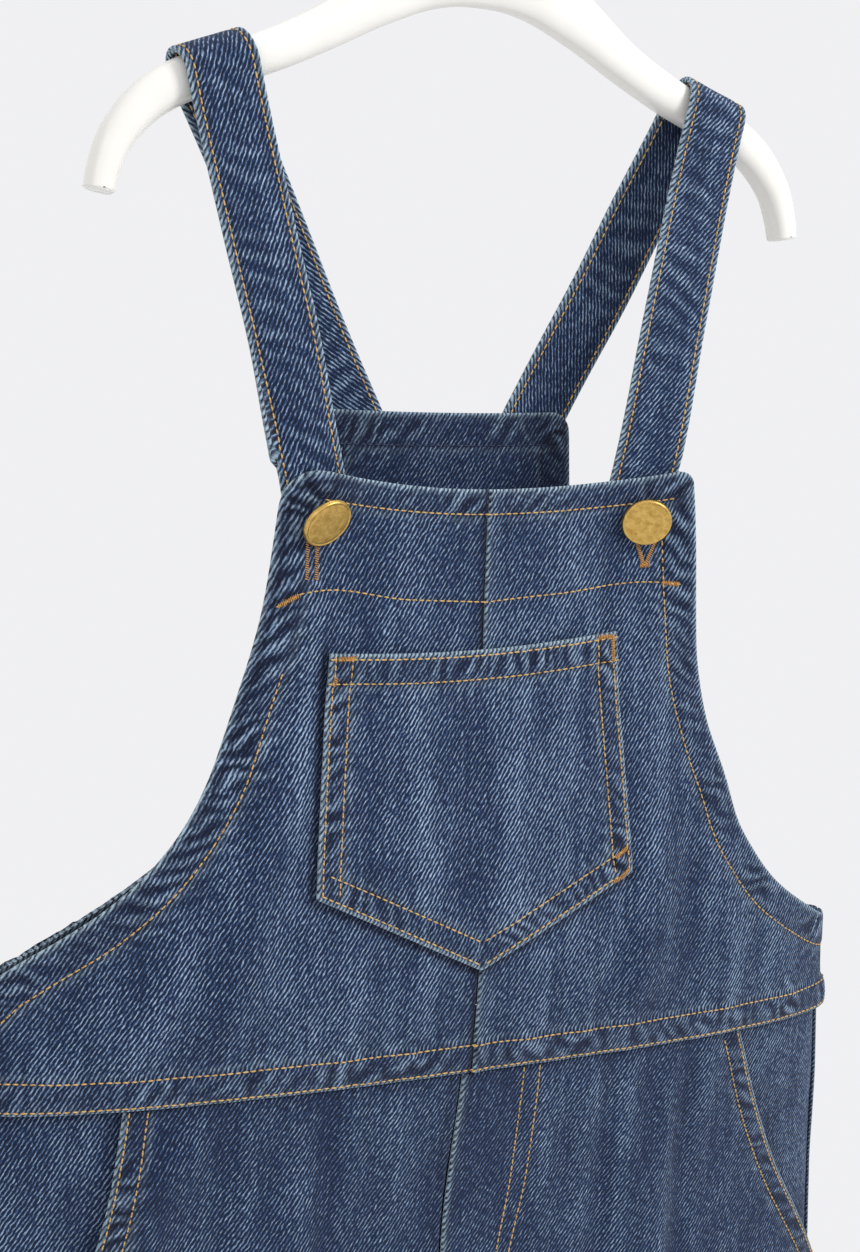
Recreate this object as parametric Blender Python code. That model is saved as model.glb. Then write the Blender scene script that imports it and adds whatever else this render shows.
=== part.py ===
"""Child's denim dungarees hanging by their straps on a white clothes hanger.

Metres, +Z up. The front faces -Y, so the wearer's left is at +X. The origin is the point on the
inside of the hook where the hanger rests on its rail. Heights on the garment are tailor's drops,
measured down from the middle of the front bib's top edge. Each cloth panel is a thin wall on the
ring of the body or of a leg, whose angle is 0 at the centre front and a right angle at the side seam.
"""

import math

import bmesh
import bpy
import numpy as np
from mathutils import Vector

# Cloth and seams
CLOTH = 0.0012            # thickness of one worked layer of denim
SEAM_GAP = 0.0003         # two sewn pieces stop this far apart
LAID_ON_GAP = 0.0007      # a strap lies this far off the bib
BAND_EXTRA = 0.0013       # the lapped waist seam is this much thicker
HEM_EXTRA = 0.0010        # so is a turned hem
FLY_EXTRA = 0.0012        # and the lapped edge of the fly

# Heights
BIB_TOP_Z = -0.252        # middle of the front bib's top edge
WAIST = 0.211             # drop to the bottom of the bib
BAND = 0.012              # depth of the lapped seam above it
UNDERARM = 0.1725
CROTCH = 0.418
CROTCH_CURVE = 0.075      # height over which the rise turns under into the inseam
HEM = 0.865
HEM_DEPTH = 0.020
BACK_TOP = -0.0245
BACK_SAG = 0.001          # the back's top corners stand this far above its middle
BACK_CORNER = 0.007
SWAY = 0.035              # the waist and legs hang lower on the wearer's left by this slope

# Rings of the body: drop, half width, y of the front, of the side seam and of the back
BODY = (
    (-0.040, 0.1735, -0.018, -0.003, 0.014),
    (0.060, 0.1735, -0.019, -0.002, 0.016),
    (0.120, 0.1735, -0.023, -0.001, 0.021),
    (0.171, 0.1735, -0.026, 0.000, 0.028),
    (0.211, 0.1765, -0.023, 0.000, 0.034),
    (0.290, 0.1840, -0.016, 0.005, 0.040),
    (0.350, 0.1885, -0.017, 0.007, 0.042),
    (0.418, 0.1910, -0.020, 0.007, 0.040),
    (0.580, 0.1850, -0.021, 0.005, 0.033),
    (0.740, 0.1790, -0.019, 0.005, 0.029),
    (0.865, 0.1770, -0.018, 0.005, 0.028),
)
HALF, FRONT, SEAM, BACK = 1, 2, 3, 4
RING_POWER = 2.6          # 2 is an ellipse, more is fuller towards the side seams

# Half width of the panels at the armholes: drop, wearer's left, wearer's right
FRONT_ARMHOLE = (
    (0.000, 0.0795, 0.0760),
    (0.020, 0.0830, 0.0785),
    (0.043, 0.0865, 0.0825),
    (0.061, 0.0900, 0.0865),
    (0.088, 0.0985, 0.0950),
    (0.108, 0.1075, 0.1050),
    (0.127, 0.1155, 0.1195),
    (0.140, 0.1250, 0.1340),
    (0.150, 0.1345, 0.1485),
    (0.158, 0.1455, 0.1605),
    (0.165, 0.1575, 0.1685),
    (0.170, 0.1670, 0.1718),
    (0.1725, 0.1730, 0.1730),
)
BACK_ARMHOLE = (
    (-0.0245, 0.0510),
    (0.035, 0.0560),
    (0.088, 0.0660),
    (0.108, 0.0770),
    (0.127, 0.0920),
    (0.142, 0.1090),
    (0.155, 0.1300),
    (0.165, 0.1515),
    (0.1725, 0.1730),
)

# Shape of the bib's top, drawn forward and up by the straps
BIB_CORNER = 0.076        # distance from the centre at which the next two lifts are measured
CORNER_FORWARD = 0.007
CORNER_UP = {1: 0.0068, -1: 0.0100}
CORNER_RADIUS = {1: 0.005, -1: 0.014}
FORWARD_DEPTH = 0.090     # drops at which the lifts have died away
UP_DEPTH = 0.045
PULL = 0.003              # each shank tilts the cloth round it downwards
PULL_REACH = 0.016
ROLL_WIDTH = 0.014        # strip of the wearer's right edge that rolls back
ROLL_BACK = 0.005
ROLL_DEPTH = 0.125

# Front edge of each trouser leg along the slant pocket: drop, wearer's left, wearer's right
POCKET_MOUTH = (
    (0.211, 0.1235, 0.1275),
    (0.241, 0.1355, 0.1310),
    (0.278, 0.1545, 0.1400),
    (0.300, 0.1685, 0.1530),
    (0.318, 0.1800, 0.1715),
    (0.330, 0.1870, 0.1870),
)
FACING_UNDER = 0.014      # the facing reaches this far under the mouth's edge
FACING_GAP = 0.0018       # and lies this far behind it

# Centre front opening edge, which leans towards the wearer's right: drop, x
FLY_EDGE = ((0.211, -0.0035), (0.280, -0.0060), (0.330, -0.0040), (0.343, 0.0), (0.418, 0.0))
FLY_WIDTH = 0.038
FLY_END = 0.330

# Inner edge of each leg below the crotch: drop, distance from the centre
INSEAM = ((0.418, 0.0018), (0.480, 0.0050), (0.580, 0.0100), (0.740, 0.0170), (0.865, 0.0230))

# Large soft folds that stand out of the cloth: side, facing (front 1, back -1), drop and distance
# from the centre at the top, the same at the bottom, height, half width
FOLDS = (
    (-1, 1, 0.075, 0.072, 0.205, 0.100, 0.0030, 0.016),
    (1, 1, 0.110, 0.080, 0.205, 0.068, 0.0025, 0.016),
    (1, 1, 0.225, 0.078, 0.430, 0.095, 0.0040, 0.024),
    (-1, 1, 0.225, 0.066, 0.430, 0.085, 0.0035, 0.024),
    (-1, 1, 0.215, 0.112, 0.318, 0.136, 0.0045, 0.020),
    (1, 1, 0.390, 0.130, 0.860, 0.085, 0.0060, 0.030),
    (1, 1, 0.370, 0.052, 0.720, 0.130, 0.0045, 0.024),
    (-1, 1, 0.390, 0.125, 0.860, 0.110, 0.0055, 0.030),
    (-1, 1, 0.370, 0.045, 0.760, 0.070, 0.0050, 0.024),
    (1, -1, 0.240, 0.070, 0.500, 0.100, 0.0055, 0.030),
    (-1, -1, 0.240, 0.085, 0.500, 0.080, 0.0055, 0.030),
    (1, -1, 0.480, 0.095, 0.860, 0.115, 0.0060, 0.030),
    (-1, -1, 0.480, 0.115, 0.860, 0.085, 0.0060, 0.030),
)

# Bib pocket
POCKET_TOP = 0.0545       # drop of its top corner on the wearer's right
POCKET_TILT = 0.0035      # the other top corner is this much higher
POCKET_SHIFT = 0.0028     # its top lies this far towards the wearer's right
POCKET_SAG = 0.003
POCKET_CORNER = 0.140     # drop of its lower corners
POCKET_TIP = 0.171
POCKET_TOP_HALF = 0.0565
POCKET_LOW_HALF = 0.0635
POCKET_HEM = 0.011
POCKET_GAP = 0.0010       # it stands this far off the bib
POCKET_EXTRA = 0.0008     # its folded hem is this much thicker

# Straps: distance from the centre where they leave the bib and where they cross the hanger
STRAP_WIDTH = 0.025
STRAP_THICK = 0.0022
STRAP_BIB_X = {1: 0.0625, -1: 0.0665}
STRAP_TOP_X = {1: 0.0928, -1: 0.0950}
STRAP_LOOP = {1: 0.0092, -1: 0.0089}    # radius of the middle of the strap over the arm
STRAP_BACK_X = 0.0385
STRAP_FRONT_LEAN = math.radians(13.2)
STRAP_BACK_LEAN = math.radians(28)
STRAP_END = 0.036         # drop of the end behind the bib
STRAP_BACK_END = 0.002    # drop of the end on the outside of the back bib
STRAP_CLEAR = 0.008       # a strap runs free from this far above the edge it leaves
STRAP_COLUMNS = (-1.0, -0.5, 0.0, 0.5, 1.0)

# Tack buttons
BUTTON_X = {1: 0.0632, -1: 0.0645}
BUTTON_DROP = 0.0130
BUTTON_RADIUS = 0.0091
BUTTON_THICK = 0.0021
BUTTON_STANDOFF = 0.0040
BUTTON_FACING = {1: (-0.354, -0.847, -0.396), -1: (0.256, -0.823, -0.505)}
SHANK_RADIUS = 0.0024
SHANK_LENGTH = 0.0100
SHANK_CLEARANCE = 0.0003

# Hanger: distance from the centre, height above the bib's top, thickness across the arm
HANGER_ARM = (
    (0.0000, 0.1760, 0.0280),
    (0.0200, 0.1715, 0.0240),
    (0.0400, 0.1605, 0.0180),
    (0.0570, 0.1500, 0.0145),
    (0.0750, 0.1410, 0.0135),
    (0.0920, 0.1343, 0.0135),
    (0.1050, 0.1290, 0.0140),
    (0.1170, 0.1215, 0.0132),
    (0.1265, 0.1105, 0.0115),
    (0.1310, 0.0995, 0.0102),
    (0.1325, 0.0925, 0.0095),
)
HANGER_DEPTH = 0.012
HANGER_POWER = 2.5
HANGER_SIDES = 16

# Hook of bent wire
WIRE_RADIUS = 0.0020
HOOK_RADIUS = 0.0190      # of the wire's middle round the rail
HOOK_NECK = math.radians(50)    # the round starts this far below its middle
HOOK_TIP = math.radians(202)
HOOK_SOCKET = 0.012       # length of wire inside the hanger
WIRE_SIDES = 12

DENIM = (0.075, 0.140, 0.300)
FADED_DENIM = (0.105, 0.180, 0.340)
DENIM_BACK = (0.050, 0.085, 0.190)
BRASS = (0.560, 0.400, 0.130)
WHITE_PLASTIC = (0.860, 0.850, 0.820)
STEEL = (0.600, 0.600, 0.600)


def ease(t):
    """Goes from 0 to 1 with no corner at either end."""
    t = min(1.0, max(0.0, t))
    return t * t * (3 - 2 * t)


def unit(v):
    return v / np.linalg.norm(v)


def spread(low, high, count):
    return [low + (high - low) * i / count for i in range(count + 1)]


def along(table, at, column):
    """Reads a table, whose first column is a drop, on a smooth curve that never overshoots a row."""
    rows = [row[0] for row in table]
    at = min(rows[-1], max(rows[0], at))
    last = len(rows) - 2
    i = min(last, max(k for k in range(len(rows)) if rows[k] <= at))

    def chord(k):
        return (table[k + 1][column] - table[k][column]) / (rows[k + 1] - rows[k])

    def slope(k):
        before, after = chord(max(0, k - 1)), chord(min(last, k))
        return 0.0 if before * after <= 0 else 2 * before * after / (before + after)

    step = rows[i + 1] - rows[i]
    t = (at - rows[i]) / step
    rise = table[i + 1][column] - table[i][column]
    return (
        table[i][column]
        + rise * t * t * (3 - 2 * t)
        + step * slope(i) * t * (1 - t) ** 2
        - step * slope(i + 1) * t * t * (1 - t)
    )


def edge(table, side, drop):
    """Half width in a table that has a column for each side of the wearer."""
    return along(table, drop, 1 if side > 0 or len(table[0]) == 2 else 2)


def height(drop, x):
    return BIB_TOP_Z - drop - ease(drop / WAIST) * SWAY * x


def fold_out(side, facing, x, drop):
    """How far the soft folds lift the cloth at x from the centre."""
    lift = 0.0
    for on_side, on_face, top, x_top, bottom, x_bottom, rise, half in FOLDS:
        if (side, facing) == (on_side, on_face) and top < drop < bottom:
            down = (drop - top) / (bottom - top)
            off = abs(x - x_top - (x_bottom - x_top) * down) / half
            if off < 1:
                lift += rise * math.cos(off * math.pi / 2) ** 2 * ease(4 * down) * ease(4 * (1 - down))
    return lift


def ring_y(side, facing, x, drop, theta):
    """How far back the cloth lies at an angle of its ring: the seam, bulged to the front or the back."""
    round_off = math.sqrt(max(0.0, 1 - abs(math.sin(theta)) ** RING_POWER))
    seam = along(BODY, drop, SEAM)
    face = along(BODY, drop, FRONT if facing > 0 else BACK)
    return seam + (face - seam) * round_off - facing * fold_out(side, facing, x, drop) * min(1, 2 * round_off)


def bib(theta, drop):
    """Inner face of the front bib. theta is below 0 on the wearer's right."""
    side = 1 if theta >= 0 else -1
    x = along(BODY, drop, HALF) * math.sin(theta)
    y = ring_y(side, 1, abs(x), drop, theta)
    reach = abs(x) / BIB_CORNER
    y -= CORNER_FORWARD * ease(1 - drop / FORWARD_DEPTH) * reach**4
    below = drop - BUTTON_DROP
    away = math.hypot(abs(x) - BUTTON_X[side], below) / PULL_REACH
    y += PULL * below / PULL_REACH * math.exp(-away * away)
    if side < 0:
        rolled = (abs(x) - edge(FRONT_ARMHOLE, side, drop)) / ROLL_WIDTH + 1
        y += ROLL_BACK * min(1.2, max(0.0, rolled)) ** 2 * ease(2 * (1 - drop / ROLL_DEPTH))
    z = height(drop, x) + CORNER_UP[side] * ease(1 - drop / UP_DEPTH) * reach**2
    return np.array((x, y, z))


def back(theta, drop):
    """Inner face of the back bib, with theta measured from the centre back."""
    side = 1 if theta >= 0 else -1
    x = along(BODY, drop, HALF) * math.sin(theta)
    z = height(drop, x) + BACK_SAG * ease(1 - (drop - BACK_TOP) / UP_DEPTH) * (x / BACK_ARMHOLE[0][1]) ** 2
    return np.array((x, ring_y(side, -1, abs(x), drop, theta), z))


def leg_share(drop):
    """0 in the body and 1 from the crotch down, where the body's ring has become two leg rings."""
    return ease((drop - CROTCH + CROTCH_CURVE) / CROTCH_CURVE)


def rise_sine(side, facing, drop):
    """Sine of the ring angle at the inner edge of a leg panel."""
    centre = side * along(FLY_EDGE, drop, 1) / along(BODY, drop, HALF) if facing > 0 else 0.0
    return centre - (1 + centre) * leg_share(drop)


def rise_x(side, facing, drop):
    """Distance of that edge from the centre, towards this side."""
    if drop >= CROTCH:
        return along(INSEAM, drop, 1)
    centre = side * along(FLY_EDGE, drop, 1) if facing > 0 else 0.0
    return centre + SEAM_GAP / 2 + leg_share(drop) ** 2 * (INSEAM[0][1] - SEAM_GAP / 2)


def leg(side, facing, theta, drop):
    """Inner face of a leg, with theta measured from the centre of the panel's own face."""
    low = rise_sine(side, facing, drop)
    inner = rise_x(side, facing, drop)
    x = inner + (along(BODY, drop, HALF) - inner) * (math.sin(theta) - low) / (1 - low)
    return np.array((side * x, ring_y(side, facing, x, drop, theta), height(drop, side * x)))


def seam_angle(facing, drop):
    """Angle by which a panel stops short of a seam, so that the two pieces stand SEAM_GAP apart."""
    depth = abs(along(BODY, drop, FRONT if facing > 0 else BACK) - along(BODY, drop, SEAM))
    return SEAM_GAP / 2 / depth / math.sqrt(RING_POWER / 2)


def normal(surface, u, v, toward):
    """Unit normal of surface(u, v) on the side that toward points to."""
    step = 0.0005
    across = surface(u + step, v) - surface(u - step, v)
    down = surface(u, v + step) - surface(u, v - step)
    n = unit(np.cross(across, down))
    return n if n @ toward > 0 else -n


def outward(facing, side, theta):
    """Rough direction out of the ring, which settles the sign of a normal."""
    return np.array((side * abs(math.sin(theta)), -facing * math.cos(theta), 0.0))


def material(name, colour, roughness, metallic=0.0):
    finish = bpy.data.materials.new(name)
    finish.use_nodes = True
    finish.diffuse_color = (*colour, 1.0)
    shader = finish.node_tree.nodes["Principled BSDF"]
    shader.inputs["Base Color"].default_value = (*colour, 1.0)
    shader.inputs["Roughness"].default_value = roughness
    shader.inputs["Metallic"].default_value = metallic
    return finish


def mesh_object(name, verts, faces, finish):
    """An object whose faces all point outwards, shaded smooth but for its true edges."""
    mesh = bpy.data.meshes.new(name)
    mesh.from_pydata([tuple(v) for v in verts], [], faces)
    mesh.materials.append(finish)
    shell = bmesh.new()
    shell.from_mesh(mesh)
    bmesh.ops.recalc_face_normals(shell, faces=shell.faces)
    shell.to_mesh(mesh)
    shell.free()
    mesh.shade_smooth()
    mesh.set_sharp_from_angle(angle=math.radians(40))
    obj = bpy.data.objects.new(name, mesh)
    bpy.context.scene.collection.objects.link(obj)
    return obj


def wall(name, inside, outside, finish):
    """A closed wall between two equal grids of points."""
    rows, columns = len(inside), len(inside[0])
    layers = (inside, outside)
    verts = [point for layer in layers for row in layer for point in row]

    def at(place, layer):
        return (layer * rows + place[0]) * columns + place[1]

    faces = []
    for i in range(rows - 1):
        for j in range(columns - 1):
            quad = [(i, j), (i, j + 1), (i + 1, j + 1), (i + 1, j)]
            faces += [[at(place, layer) for place in quad] for layer in (0, 1)]
    rim = [(0, j) for j in range(columns)]
    rim += [(i, columns - 1) for i in range(1, rows)]
    rim += [(rows - 1, j) for j in range(columns - 2, -1, -1)]
    rim += [(i, 0) for i in range(rows - 2, 0, -1)]
    for here, there in zip(rim, rim[1:] + rim[:1]):
        faces.append([at(here, 0), at(there, 0), at(there, 1), at(here, 1)])
    return mesh_object(name, verts, faces, finish)


def panel(name, surface, places, toward, finish, lift=0.0, extra=None):
    """A cloth wall on surface(u, v) at the places (u, v) of a grid.

    It starts lift out of the surface and is CLOTH thick, and thicker by extra(u, v).
    """
    inside, outside = [], []
    for row in places:
        normals = [normal(surface, u, v, toward(u)) for u, v in row]
        base = [surface(u, v) + lift * n for (u, v), n in zip(row, normals)]
        thick = [CLOTH + (extra(u, v) if extra else 0.0) for u, v in row]
        inside.append(base)
        outside.append([point + t * n for point, t, n in zip(base, thick, normals)])
    return wall(name, inside, outside, finish)


def bib_rows(top, corner, armhole):
    """Rows of a bib as pairs of drops, in the middle and at the edge, closer where the edge turns."""
    edges = [top + corner * (1 - math.cos(math.radians(a))) for a in (0, 30, 60, 90)]
    edges += spread(edges[-1], 0.142, armhole)[1:] + [0.152, 0.160, 0.1665, 0.1705, UNDERARM]
    rows = list(zip(spread(top, UNDERARM, len(edges) - 1), edges))
    return rows + [(drop, drop) for drop in (0.185, WAIST - BAND - 0.0015, WAIST - BAND, WAIST - BAND / 2, WAIST)]


def bib_edge_angle(table, side, facing, drop, top, corner):
    """Ring angle at the edge of a bib: its armhole, rounded at the top corner, or its side seam."""
    if drop >= UNDERARM - 1e-6:
        return math.pi / 2 - seam_angle(facing, drop)
    left = max(0.0, corner - (drop - top))
    rounded = corner - math.sqrt(corner * corner - left * left)
    return math.asin((edge(table, side, drop) - rounded) / along(BODY, drop, HALF))


def bib_place(low, high, u, middle, drop):
    """Ring angle and drop at u, from 0 at a bib's middle to 1 at its edge."""
    return low + (high - low) * u, middle + (drop - middle) * u * u


def band_extra(theta, drop):
    return BAND_EXTRA if drop > WAIST - BAND - 1e-6 else 0.0


def front_bib(side, name, finish):
    """One half of the front bib, from the centre front seam to the armhole and side seam."""
    corner = CORNER_RADIUS[side]
    places = []
    for middle, drop in bib_rows(0.0, corner, 8):
        low = math.asin(SEAM_GAP / 2 / along(BODY, middle, HALF))
        high = bib_edge_angle(FRONT_ARMHOLE, side, 1, drop, 0.0, corner)
        places.append([bib_place(side * low, side * high, u, middle, drop) for u in spread(0, 1, 9)])
    return panel(name, bib, places, lambda theta: outward(1, side, theta), finish, extra=band_extra)


def back_bib(name, finish):
    places = []
    for middle, drop in bib_rows(BACK_TOP, BACK_CORNER, 8):
        high = bib_edge_angle(BACK_ARMHOLE, 1, -1, drop, BACK_TOP, BACK_CORNER)
        places.append([bib_place(0.0, math.copysign(high, u), abs(u), middle, drop) for u in spread(-1, 1, 14)])

    def toward(theta):
        return outward(-1, 1 if theta >= 0 else -1, theta)

    return panel(name, back, places, toward, finish, extra=band_extra)


def hip_rows():
    return spread(WAIST + SEAM_GAP, CROTCH - CROTCH_CURVE, 8)


def leg_rows():
    rise = spread(CROTCH - CROTCH_CURVE, CROTCH, 6)
    shin = spread(CROTCH, HEM - HEM_DEPTH - 0.0015, 10)
    return hip_rows() + rise[1:] + shin[1:] + [HEM - HEM_DEPTH, HEM - HEM_DEPTH / 2, HEM]


def leg_panel(side, facing, name, finish):
    """One leg piece, from the rise and inseam to the side seam or the mouth of the pocket."""
    places = []
    for drop in leg_rows():
        seam = seam_angle(facing, drop)
        low = max(math.asin(max(-1.0, rise_sine(side, facing, drop))), seam - math.pi / 2)
        high = math.pi / 2 - seam
        if facing > 0 and drop < POCKET_MOUTH[-1][0]:
            high = min(high, math.asin(edge(POCKET_MOUTH, side, drop) / along(BODY, drop, HALF)))
        places.append([(theta, drop) for theta in spread(low, high, 11 if facing > 0 else 9)])

    def surface(theta, drop):
        return leg(side, facing, theta, drop)

    def toward(theta):
        return np.array((side * math.sin(theta), -facing * max(0.01, math.cos(theta)), 0.0))

    def extra(theta, drop):
        if drop > HEM - HEM_DEPTH - 1e-6:
            return HEM_EXTRA
        if (side, facing) == (1, 1) and drop < FLY_END:
            across = (surface(theta, drop)[0] - along(FLY_EDGE, drop, 1)) / FLY_WIDTH
            return FLY_EXTRA * ease(1 - across)
        return 0.0

    return panel(name, surface, places, toward, finish, extra=extra)


def pocket_facing(side, name, finish):
    """Cloth behind the mouth of a slant pocket, from under the front leg to the side seam."""
    places = []
    for drop in hip_rows():
        mouth = edge(POCKET_MOUTH, side, drop) - FACING_UNDER
        low = math.asin(mouth / along(BODY, drop, HALF))
        places.append([(theta, drop) for theta in spread(low, math.pi / 2 - seam_angle(1, drop), 7)])

    def surface(theta, drop):
        return leg(side, 1, theta, drop)

    lift = -FACING_GAP - CLOTH
    return panel(name, surface, places, lambda theta: outward(1, side, theta), finish, lift=lift)


def pocket_place(u, v):
    """Ring angle and drop on the bib pocket: u from -1 to 1 across it, v from 0 to 1 down it."""
    top = POCKET_TOP + POCKET_SAG * (1 - u * u) - POCKET_TILT * (1 + u) / 2
    low = POCKET_CORNER + (POCKET_TIP - POCKET_CORNER) * (1 - abs(u))
    drop = top + (low - top) * v
    down = min(1.0, (drop - POCKET_TOP) / (POCKET_CORNER - POCKET_TOP))
    half = POCKET_TOP_HALF + (POCKET_LOW_HALF - POCKET_TOP_HALF) * down
    return math.asin((u * half - POCKET_SHIFT * (1 - down)) / along(BODY, drop, HALF)), drop


def bib_pocket(name, finish):
    hem = POCKET_HEM / (POCKET_TIP - POCKET_TOP)
    rows = [0.0, hem, hem + 0.015] + spread(hem + 0.015, 1.0, 8)[1:]
    places = [[pocket_place(u, v) for u in spread(-1, 1, 10)] for v in rows]
    hem_places = places[0] + places[1]

    def extra(theta, drop):
        return POCKET_EXTRA if (theta, drop) in hem_places else 0.0

    def toward(theta):
        return np.array((0.0, -1.0, 0.0))

    return panel(name, bib, places, toward, finish, lift=CLOTH + POCKET_GAP, extra=extra)


def lap_row(surface, side, x, lean, drop, toward, depth):
    """One row of points of a strap that lies on a bib, depth out of the bib's inner face."""
    row = []
    for k in STRAP_COLUMNS:
        reach = k * STRAP_WIDTH / 2
        at = drop + reach * math.sin(lean)
        theta = math.asin(side * (x + reach * math.cos(lean)) / along(BODY, at, HALF))
        n = normal(surface, theta, at, toward)
        row.append((surface(theta, at) + depth * n, n))
    return row


def strap(side, name, finish):
    """A strap from behind the front bib, over the hanger's arm, to the outside of the back bib."""
    front = np.array((0.0, -1.0, 0.0))
    tilt = math.tan(STRAP_FRONT_LEAN)
    lower = [
        lap_row(
            bib, side, STRAP_BIB_X[side] - tilt * drop, STRAP_FRONT_LEAN, drop, front,
            -LAID_ON_GAP - STRAP_THICK / 2,
        )
        for drop in spread(STRAP_END, -STRAP_CLEAR, 6)
    ]
    back_tilt = math.tan(STRAP_BACK_LEAN)
    upper = [
        lap_row(
            back, side, STRAP_BACK_X - back_tilt * (drop - BACK_TOP), STRAP_BACK_LEAN, drop, -front,
            CLOTH + LAID_ON_GAP + STRAP_THICK / 2,
        )
        for drop in spread(BACK_TOP - STRAP_CLEAR, STRAP_BACK_END, 5)
    ]
    arm = np.array((side * STRAP_TOP_X[side], 0.0, BIB_TOP_Z + arm_height(STRAP_TOP_X[side])))
    loop = []
    for phi in spread(0, math.pi, 8):
        lean = STRAP_FRONT_LEAN + (STRAP_BACK_LEAN - STRAP_FRONT_LEAN) * phi / math.pi
        across = np.array((side * math.cos(lean), 0.0, -math.sin(lean)))
        up = np.array((side * math.sin(lean), 0.0, math.cos(lean)))
        n = math.cos(phi) * front + math.sin(phi) * up
        way = -math.sin(phi) * front + math.cos(phi) * up
        loop.append((arm + STRAP_LOOP[side] * n, across, way, n))
    rows = list(lower)
    first = lap_end(lower[-2], lower[-1])
    rows += [flat_row(side, *row) for row in free_run(first, loop[0][:3], 8)]
    rows += [[(middle + k * STRAP_WIDTH / 2 * across, n) for k in STRAP_COLUMNS] for middle, across, _, n in loop]
    last = lap_end(upper[0], upper[1])
    rows += [flat_row(side, *row) for row in free_run(loop[-1][:3], last, 7)]
    rows += upper
    inside = [[point - n * STRAP_THICK / 2 for point, n in row] for row in rows]
    outside = [[point + n * STRAP_THICK / 2 for point, n in row] for row in rows]
    return wall(name, inside, outside, finish)


def lap_end(before, after):
    """Middle, width direction and way along the strap where two rows of a lap follow each other."""
    middle = len(STRAP_COLUMNS) // 2
    row = before if before[middle][0][2] > after[middle][0][2] else after
    across = unit(row[-1][0] - row[0][0])
    return row[middle][0], across, unit(after[middle][0] - before[middle][0])


def free_run(start, end, steps):
    """Rows (middle, width direction, way) of a strap that hangs free between two given ones."""
    length = np.linalg.norm(end[0] - start[0])

    def middle(t):
        h = ease(t)
        bend = t * (1 - t) ** 2 * start[2] - t * t * (1 - t) * end[2]
        return start[0] * (1 - h) + end[0] * h + length * bend

    rows = []
    for t in spread(0, 1, steps)[1:-1]:
        way = unit(middle(t + 0.01) - middle(t - 0.01))
        rows.append((middle(t), unit(start[1] * (1 - t) + end[1] * t), way))
    return rows


def flat_row(side, middle, across, way):
    n = side * unit(np.cross(across, way))
    return [(middle + k * STRAP_WIDTH / 2 * across, n) for k in STRAP_COLUMNS]


def turned(name, profile, sides, finish):
    """A solid turned about Z from a profile of (radius, height) that starts and ends on the axis."""
    verts = [(0.0, 0.0, profile[0][1])]
    for radius, z in profile[1:-1]:
        for k in range(sides):
            turn = 2 * math.pi * k / sides
            verts.append((radius * math.cos(turn), radius * math.sin(turn), z))
    verts.append((0.0, 0.0, profile[-1][1]))
    rings = [[1 + i * sides + k for k in range(sides)] for i in range(len(profile) - 2)]
    faces = [(0, a, b) for a, b in zip(rings[0], rings[0][1:] + rings[0][:1])]
    for upper, lower in zip(rings, rings[1:]):
        for k in range(sides):
            nxt = (k + 1) % sides
            faces.append((upper[k], lower[k], lower[nxt], upper[nxt]))
    faces += [(len(verts) - 1, b, a) for a, b in zip(rings[-1], rings[-1][1:] + rings[-1][:1])]
    return mesh_object(name, verts, faces, finish)


def cut(obj, cutter):
    hole = obj.modifiers.new("hole", "BOOLEAN")
    hole.operation = "DIFFERENCE"
    hole.object = cutter


def cutter_cylinder(name, radius, low, high, sides=20):
    profile = [(0.0, high), (radius, high), (radius, low), (0.0, low)]
    obj = turned(name, profile, sides, bpy.data.materials["brass"])
    obj.hide_render = True
    obj.display_type = "WIRE"
    return obj


def button(side, name, finish, pierced):
    """A tack button: a flat cap with a rolled rim, and a shank through the bib and the strap."""
    theta = math.asin(side * BUTTON_X[side] / along(BODY, BUTTON_DROP, HALF))
    n = normal(bib, theta, BUTTON_DROP, np.array((0.0, -1.0, 0.0)))
    on_cloth = Vector(bib(theta, BUTTON_DROP) + CLOTH * n)
    facing = Vector(BUTTON_FACING[side]).normalized()
    r, t = BUTTON_RADIUS, BUTTON_THICK
    profile = [
        (0.0, t), (0.80 * r, t), (0.88 * r, 0.93 * t), (0.94 * r, 0.97 * t), (0.99 * r, 0.78 * t), (r, 0.5 * t),
        (0.97 * r, 0.12 * t), (0.90 * r, 0.0), (SHANK_RADIUS, 0.0), (SHANK_RADIUS, -SHANK_LENGTH),
        (0.0, -SHANK_LENGTH),
    ]
    cap = turned(name, profile, 28, finish)
    cutter = cutter_cylinder(name + "_hole", SHANK_RADIUS + SHANK_CLEARANCE, -2 * SHANK_LENGTH, 0.0)
    for obj in (cap, cutter):
        obj.location = on_cloth + facing * BUTTON_STANDOFF
        obj.rotation_mode = "QUATERNION"
        obj.rotation_quaternion = facing.to_track_quat("Z", "Y")
    for cloth in pierced:
        cut(cloth, cutter)
    return cap


def through(points, t):
    """Smooth curve through a list of points, one for each whole number t."""
    i = min(len(points) - 2, max(0, math.floor(t)))
    u = t - i
    near, far = points[i], points[i + 1]
    before = points[i - 1] if i > 0 else 2 * near - far
    after = points[i + 2] if i + 2 < len(points) else 2 * far - near
    return 0.5 * (
        2 * near
        + (far - before) * u
        + (2 * before - 5 * near + 4 * far - after) * u * u
        + (3 * near - before - 3 * far + after) * u**3
    )


def arm_height(x):
    """Height of the middle of the hanger's arm above the bib's top."""
    heights = [(row[0], row[1]) for row in HANGER_ARM]
    return along(heights, x, 1)


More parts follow.
